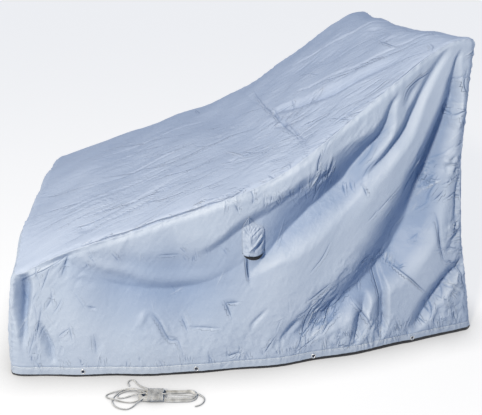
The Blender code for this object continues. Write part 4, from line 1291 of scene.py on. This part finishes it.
def stitchAlong(builder, line, outward):
    # short threads laid end to end along a line of points on the cloth
    steps = np.linalg.norm(np.diff(line, axis=0), axis=1)
    run = np.concatenate([[0], np.cumsum(steps)])
    spacing, radius = stitching["spacing"], stitching["radius"]

    def readAt(table, place):
        return np.array([np.interp(place, run, table[:, k]) for k in range(3)])

    for start in np.arange(spacing, run[-1] - spacing, spacing):
        first = readAt(line, start)
        last = readAt(line, start + stitching["length"])
        middle = (first + last) / 2 + readAt(outward, start) * radius * stitching["raised"]
        addRod(builder, radius, stitching["length"], stitching["sides"], middle, last - first)


threads = bmesh.new()
for kind, (points, outward, uv) in hemPaths.items():
    level = hemBand["height"] - hemBand["stitchDrop"]
    row = int(np.abs(uv[:, len(uv[0]) // 2, 1] - level).argmin())
    stitchAlong(threads, points[row], outward[row])
print("hem stitched")


# ---- vent hood: a pocket sewn to the side, open below, its upper end lying flat
ventHood = {
    "y": -0.006,
    "mouth": 0.329,
    "mouthDip": 0.003,
    "top": 0.430,
    "width": 0.060,
    "bulge": 0.017,
    "bulgeTop": 0.74,
    "creaseGain": 1.4,
    "fullShadeDepth": 0.012,
    "uneven": 0.0011,
    "columns": 70,
    "rows": 66,
    "clear": 0.0024,
    "thickness": 0.0012,
    "cut": (0.085, 0.125),
    "stitchRise": 0.0085,
    "stitchDent": 0.0009,
    "stitchDentWidth": 0.0012,
    "seamAcross": 0.42,  # the short seam that runs up the flat upper end
    "seamFrom": 0.70,
    "seamRidge": 0.0016,
    "seamWidth": 0.0014,
    # rise, and the left and right edges there as shares of half the width
    "outline": ((0.0, -0.98, 0.98), (0.35, -1.0, 1.0), (0.62, -0.96, 0.97), (0.70, -0.93, 0.80),
                (0.76, -0.88, 0.30), (0.82, -0.78, 0.04), (0.92, -0.60, -0.20), (1.0, -0.46, -0.34)),
}
# Creases of the hood from one point to another, as side (-1 to 1) and rise (0 to 1), with their
# width and depth in mm. Most run to one point left of its middle.
hoodCreases = (
    ((-0.78, 0.66), (-0.40, 0.52), 2.2, 2.4),
    ((-0.61, 0.73), (-0.39, 0.56), 1.8, 2.0),
    ((-0.16, 0.74), (-0.40, 0.58), 1.8, 1.6),
    ((0.14, 0.72), (-0.33, 0.54), 2.0, 2.4),
    ((0.50, 0.72), (-0.10, 0.56), 2.0, 2.0),
    ((0.80, 0.68), (-0.12, 0.47), 2.2, 2.8),
    ((-0.38, 0.50), (-0.30, 0.32), 2.8, -2.0),
    ((0.74, 0.54), (-0.10, 0.26), 2.0, 2.4),
    ((0.80, 0.47), (-0.47, 0.14), 2.6, -3.4),
    ((0.88, 0.34), (0.05, 0.12), 4.6, 6.0),
    ((-0.85, 0.32), (-0.55, 0.12), 3.0, 1.8),
)


def strokeRelief(a, b, start, end, wide, deep):
    # a straight crease that fades towards both ends
    t, distance, _ = toSegment(a, b, start, end)
    fade = np.sin(np.pi * np.clip(t, 0.12, 0.88)) ** 0.5
    return -deep * mm * np.exp(-((distance / (wide * mm)) ** 1.4)) * fade


def makeHood(hood):
    side, rise = np.meshgrid(np.linspace(-1, 1, hood["columns"]), np.linspace(0, 1, hood["rows"]))
    outline = np.array(hood["outline"])
    left = np.interp(rise, outline[:, 0], outline[:, 1])
    right = np.interp(rise, outline[:, 0], outline[:, 2])
    across = left + (right - left) * (side + 1) / 2
    half = hood["width"] / 2
    tall = hood["top"] - hood["mouth"]
    y = hood["y"] + half * across
    z = hood["mouth"] + tall * rise - hood["mouthDip"] * (1 - across**2) * (1 - rise) ** 2
    # the place on the flat side whose hung point lies at this y and z
    along = y.copy()
    for _ in range(6):
        riseShare = z / heightAt(along)
        along += y - hungPoint(np.full_like(along, halfWidth), along, riseShare)[..., 1]
    base, outward, _ = clothSurface("left", along, riseShare)
    body = np.clip(1 - rise / hood["bulgeTop"], 0, 1)
    stand = hood["bulge"] * np.clip(1 - side**2, 0, 1) ** 0.75 * body**0.8
    relief = np.zeros_like(stand)
    for start, end, wide, deep in hoodCreases:
        ends = [(point[0] * half, point[1] * tall) for point in (start, end)]
        relief += strokeRelief(across * half, rise * tall, *ends, wide, deep * hood["creaseGain"])
    soft = softNoise(np.stack([across * 3.6, rise * 6, 0 * side], axis=-1), 1.0, 8.0) * hood["uneven"]
    bodyMask = np.clip(1 - side**6, 0, 1) * smoothStep(rise - 0.02, 0.08)
    bodyMask *= 0.35 + 0.65 * smoothStep(body, 0.12)
    toStitches = (rise * tall - hood["stitchRise"]) / hood["stitchDentWidth"]
    toRidge = (across + hood["seamAcross"]) * half / hood["seamWidth"]
    ridge = hood["seamRidge"] * np.exp(-(toRidge**2)) * smoothStep(rise - hood["seamFrom"], 0.06)
    stand = stand + (relief + soft) * bodyMask - hood["stitchDent"] * np.exp(-(toStitches**2)) + ridge
    outer = base + outward * (hood["clear"] + np.maximum(stand, 0))[..., None]
    masks = {
        # painted shade: how far the hood's colour is darkened in its creases
        "paintedFoldShade": np.clip(-relief / hood["fullShadeDepth"], 0, 1),
        "crumple": np.ones_like(side),
        "grain": y,
        "lineDistance": np.full_like(side, 2 * lineReach),
        "lineDepth": np.zeros_like(side),
    }
    piece = gridPiece("ventHood", outer, np.stack([y, z], axis=-1), masks)
    thicken(piece, hood["thickness"])
    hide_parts("vent_hood_left")
    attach(piece, "root")
    row = int(round(hood["stitchRise"] / tall * (hood["rows"] - 1)))
    stitchAlong(threads, outer[row], outward[row])
    return piece


pieces["hood"] = makeHood(ventHood)
stitches = linkMesh(threads, "stitches", smooth=False)
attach(stitches, "root")
print("vent hood made")


# ---- materials
class Wire:
    # an output of a shader node, so that shader sums are written as plain ones
    def __init__(self, tree, socket=None):
        self.tree = tree
        self.socket = socket

    def node(self, kind, settings=None, values=None, output=0):
        made = self.tree.nodes.new(kind)
        for name, value in (settings or {}).items():
            setattr(made, name, value)
        for name, value in (values or {}).items():
            if isinstance(value, Wire):
                self.tree.links.new(value.socket, made.inputs[name])
            else:
                made.inputs[name].default_value = value
        return Wire(self.tree, made.outputs[output])

    def maths(self, operation, first, second=0.0):
        return self.node("ShaderNodeMath", {"operation": operation}, {0: first, 1: second})

    def __add__(self, other):
        return self.maths("ADD", self, other)

    __radd__ = __add__

    def __sub__(self, other):
        return self.maths("SUBTRACT", self, other)

    def __rsub__(self, other):
        return self.maths("SUBTRACT", other, self)

    def __mul__(self, other):
        return self.maths("MULTIPLY", self, other)

    __rmul__ = __mul__

    def __truediv__(self, other):
        return self.maths("DIVIDE", self, other)

    def __abs__(self):
        return self.maths("ABSOLUTE", self)

    def sine(self):
        return self.maths("SINE", self)

    def exponent(self):
        return self.maths("EXPONENT", self)

    def clamped(self):
        return self.node("ShaderNodeClamp", None, {0: self})


def startMaterial(name):
    material = bpy.data.materials.new(name)
    material.use_nodes = True
    tree = material.node_tree
    wire = Wire(tree)
    place = wire.node("ShaderNodeTexCoord", output="Object")
    return material, tree.nodes["Principled BSDF"], wire, place


def joinShader(wire, shader, name, value):
    wire.tree.links.new(value.socket, shader.inputs[name])


def blendColours(wire, factor, first, second):
    ends = [end if isinstance(end, Wire) else (*end, 1) for end in (first, second)]
    return wire.node("ShaderNodeMix", {"data_type": "RGBA"}, {0: factor, 6: ends[0], 7: ends[1]}, output=2)


def noiseAt(wire, place, scale, detail, output=0):
    values = {"Vector": place, "Scale": scale, "Detail": detail}
    return wire.node("ShaderNodeTexNoise", None, values, output)


def readMask(wire, name):
    return wire.node("ShaderNodeAttribute", {"attribute_name": name}, output="Fac")


def readUv(wire):
    across = wire.node("ShaderNodeSeparateXYZ", None, {0: wire.node("ShaderNodeTexCoord", output="UV")})
    return across, Wire(wire.tree, across.socket.node.outputs[1])


def joinBump(wire, shader, height):
    # the height is in mm
    bump = wire.node("ShaderNodeBump", None, {"Strength": 1.0, "Distance": mm, "Height": height})
    joinShader(wire, shader, "Normal", bump)


# The shade colours are painted shade, which the folds' troughs and the pressed lines are darkened towards.
sideFinish = {"grain": 0.35, "colour": (0.49, 0.56, 0.66), "pale": (0.55, 0.61, 0.70),
              "shade": (0.24, 0.33, 0.50)}
softPaintedShade = (0.30, 0.38, 0.54)
clothFinishes = {
    "side": sideFinish,
    # the vent's black netting also paints the shadow under the hood's mouth
    "ventShadowed": {**sideFinish, "shadowBlack": ("vent", 1200)},
    # painted light: the top's cloth is a lighter, bluer copy of the sides' cloth, for the sky's light that
    # falls on it
    "top": {"grain": 1.5, "colour": (0.505, 0.575, 0.70), "pale": (0.55, 0.615, 0.73), "shade": softPaintedShade},
    # the hem's black lining also paints the shadow under the lifted hem
    "hem": {"grain": 0.3, "colour": (0.48, 0.54, 0.62), "pale": (0.55, 0.60, 0.67), "shade": softPaintedShade,
            "shadowBlack": ("liningAndShadow", 2500)},
    # painted shade: the hood's cloth is a darker copy of the sides' cloth, for the light that falls on its
    # bulge
    "hood": {"grain": 0.3, "colour": (0.40, 0.47, 0.58), "pale": (0.48, 0.54, 0.64), "shade": softPaintedShade},
}
weave = {
    "pitch": 0.0011,
    "height": 0.04,
    "crinkleSize": 0.022,
    "crinkle": 2.4,
    "fineCrinkle": 0.85,
    "finer": 2.7,
    "lineWidth": 0.0017,
    "lineGain": 2.3,
    "grainSize": 0.007,
    # the black of the vent's netting and the hem's lining, which also paints the shadow under the hood and
    # under the hem
    "shadowBlack": (0.012, 0.012, 0.015),
    "sheen": {"Sheen Weight": 0.12, "Sheen Roughness": 0.4, "Specular IOR Level": 0.45},
}


def clothMaterial(name, finish):
    material, shader, wire, place = startMaterial(name)
    crumple = readMask(wire, "crumple")
    mottle = noiseAt(wire, place, 7.0, 4.0)
    speck = noiseAt(wire, place, 55.0, 3.0)
    nearness = (abs(readMask(wire, "lineDistance")) * (-1 / weave["lineWidth"])).exponent()
    line = nearness * readMask(wire, "lineDepth") * weave["lineGain"]
    worn = (mottle * 1.6 - 0.5 + 0.4 * speck).clamped()
    colour = blendColours(wire, worn, finish["colour"], finish["pale"])
    # painted shade: the colour is darkened in the folds' troughs and along the pressed lines
    paintedShadeAmount = (readMask(wire, "paintedFoldShade") * 0.8 + line * 0.35).clamped()
    colour = blendColours(wire, paintedShadeAmount, colour, finish["shade"])
    # painted shadow: black on the netting under the hood and on the hem's lining band
    if "shadowBlack" in finish:
        mask, sharpness = finish["shadowBlack"]
        inside = (readMask(wire, mask) * sharpness + 0.5).clamped()
        colour = blendColours(wire, inside, colour, weave["shadowBlack"])
    joinShader(wire, shader, "Base Color", colour)
    joinShader(wire, shader, "Roughness", 0.40 + 0.10 * speck + 0.05 * crumple)
    # the weave, and the small crinkles that the cloth keeps from lying folded
    across, upward = readUv(wire)
    turns = 2 * math.pi / weave["pitch"]
    threadsUp = (across * turns).sine() * (upward * turns).sine()
    wobble = noiseAt(wire, place, 30.0, 2.0, "Color")
    bent = wire.node("ShaderNodeMix", {"data_type": "VECTOR"}, {0: 0.02, 4: place, 5: wobble}, output=1)
    cells, small = [
        wire.node("ShaderNodeTexVoronoi", {"feature": "F1"},
                  {"Vector": bent, "Scale": scale / weave["crinkleSize"]}, output="Distance")
        for scale in (1, weave["finer"])
    ]
    patch = noiseAt(wire, place, 9.0, 2.0)
    crinkled = crumple * 0.8 + (patch - 0.35).clamped()
    height = (cells * weave["crinkle"] + small * weave["fineCrinkle"]) * crinkled
    grain = readMask(wire, "grain") / weave["grainSize"]
    grainAt = wire.node("ShaderNodeCombineXYZ", None, {0: grain, 1: upward * 7.0, 2: patch * 2.0})
    height = height + noiseAt(wire, grainAt, 1.0, 3.0) * finish["grain"]
    joinBump(wire, shader, height + threadsUp * weave["height"] - line)
    for name, value in weave["sheen"].items():
        shader.inputs[name].default_value = value
    return material


def metalMaterial():
    material, shader, wire, place = startMaterial("eyeletMetal")
    scratch = noiseAt(wire, place, 900.0, 2.0)
    tone = blendColours(wire, scratch, (0.58, 0.60, 0.63), (0.78, 0.79, 0.80))
    joinShader(wire, shader, "Base Color", tone)
    joinShader(wire, shader, "Roughness", 0.24 + 0.2 * scratch)
    shader.inputs["Metallic"].default_value = 1.0
    return material


def cordMaterial():
    material, shader, wire, place = startMaterial("drawCordBraid")
    along, around = readUv(wire)
    lay = 2 * math.pi * 900
    turned = around * (2 * math.pi)
    strands = (along * lay + turned).sine() * (along * lay - turned).sine()
    dirt = noiseAt(wire, place, 60.0, 3.0)
    clean = (dirt * 1.4 - 0.2 + 0.25 * strands).clamped()
    tone = blendColours(wire, clean, (0.24, 0.235, 0.22), (0.80, 0.79, 0.76))
    joinShader(wire, shader, "Base Color", tone)
    joinShader(wire, shader, "Roughness", 0.72 + 0.15 * dirt)
    joinBump(wire, shader, strands * 0.18)
    return material


def threadMaterial():
    material, shader, wire, place = startMaterial("seamThread")
    fuzz = noiseAt(wire, place, 700.0, 1.0)
    tone = blendColours(wire, fuzz, (0.36, 0.42, 0.52), (0.56, 0.61, 0.68))
    joinShader(wire, shader, "Base Color", tone)
    joinShader(wire, shader, "Roughness", 0.55 + 0.2 * fuzz)
    return material


def paint(painted, material):
    for piece in painted:
        piece.data.materials.clear()
        piece.data.materials.append(material)


finishes = {key: clothMaterial(f"{key}Cloth", finish) for key, finish in clothFinishes.items()}
paint([pieces["left"]], finishes["ventShadowed"])
paint([pieces[kind] for kind in ("right", "front", "back")], finishes["side"])
paint([pieces[f"{kind}Hem"] for kind in hemPaths], finishes["hem"])
paint([pieces["top"]], finishes["top"])
paint([pieces["hood"]], finishes["hood"])
paint(eyelets, metalMaterial())
paint([cordPiece], cordMaterial())
paint([stitches], threadMaterial())
print("materials painted")


# ---- floor and light
studio = {
    "floorHalf": 30.0,
    "floorColour": (0.24, 0.24, 0.24),
    "floorGlow": 0.80,
    "glowColour": (1.0, 0.99, 0.98),
    "floorShadeReach": 0.10,
    "coveredReach": 0.9,
    "keyFrom": (0.66, -0.49, 0.57),
    "keyDistance": 4.2,
    "keySize": 0.45,
    "keyWatts": 170,
    "keyColour": (1.0, 0.91, 0.75),
    "skyColour": (0.36, 0.58, 1.0),
    "skyStrength": 0.40,
    "backdropColour": (0.95, 0.96, 0.98),
    "lookAt": (0.1, 0.0, 0.35),
}


def addFloor(look):
    builder = bmesh.new()
    bmesh.ops.create_grid(builder, x_segments=2, y_segments=2, size=look["floorHalf"])
    floor = linkMesh(builder, "studioFloor", smooth=False)
    material, shader, wire, place = startMaterial("floorPaper")
    joinShader(wire, shader, "Roughness", 0.85 + 0.1 * noiseAt(wire, place, 40.0, 2.0))
    shader.inputs["Base Color"].default_value = (*look["floorColour"], 1)
    # painted shadow: the floor's glow is darkened where the cover and the cord stand near it
    shade = {"Color": (*look["glowColour"], 1), "Distance": look["floorShadeReach"]}
    shadowedGlow = wire.node("ShaderNodeAmbientOcclusion", {"samples": 8}, shade, "Color")
    # painted shadow: the glow is black under the cover, where hardly any sky is seen
    covered = {"Distance": look["coveredReach"]}
    openness = wire.node("ShaderNodeAmbientOcclusion", {"samples": 8}, covered, "AO")
    outside = ((openness - 0.2) * 5.0).clamped()
    joinShader(wire, shader, "Emission Color", blendColours(wire, outside, (0, 0, 0), shadowedGlow))
    shader.inputs["Emission Strength"].default_value = look["floorGlow"]
    shader.inputs["Specular IOR Level"].default_value = 0.1
    floor.data.materials.append(material)
    floor.visible_diffuse = False


def addLights(look):
    light = bpy.data.lights.new("keyLight", "AREA")
    light.energy = look["keyWatts"]
    light.size = look["keySize"]
    light.color = look["keyColour"]
    key = addObject("keyLight", light)
    direction = Vector(look["keyFrom"]).normalized()
    key.location = Vector(look["lookAt"]) + direction * look["keyDistance"]
    key.rotation_euler = direction.to_track_quat("Z", "Y").to_euler()
    world = bpy.data.worlds.new("studioWorld")
    world.use_nodes = True
    tree = world.node_tree
    sky = tree.nodes["Background"]
    sky.inputs["Color"].default_value = (*look["skyColour"], 1)
    sky.inputs["Strength"].default_value = look["skyStrength"]
    wire = Wire(tree)
    seen = wire.node("ShaderNodeLightPath", output="Is Camera Ray")
    backdropLook = {"Color": (*look["backdropColour"], 1), "Strength": 1.0}
    backdrop = wire.node("ShaderNodeBackground", None, backdropLook)
    both = wire.node("ShaderNodeMixShader", None, {0: seen, 1: Wire(tree, sky.outputs[0]), 2: backdrop})
    tree.links.new(both.socket, tree.nodes["World Output"].inputs["Surface"])
    bpy.context.scene.world = world
    bpy.context.scene.view_settings.view_transform = "Standard"


addFloor(studio)
addLights(studio)
print("floor and light set")

bpy.context.view_layer.update()
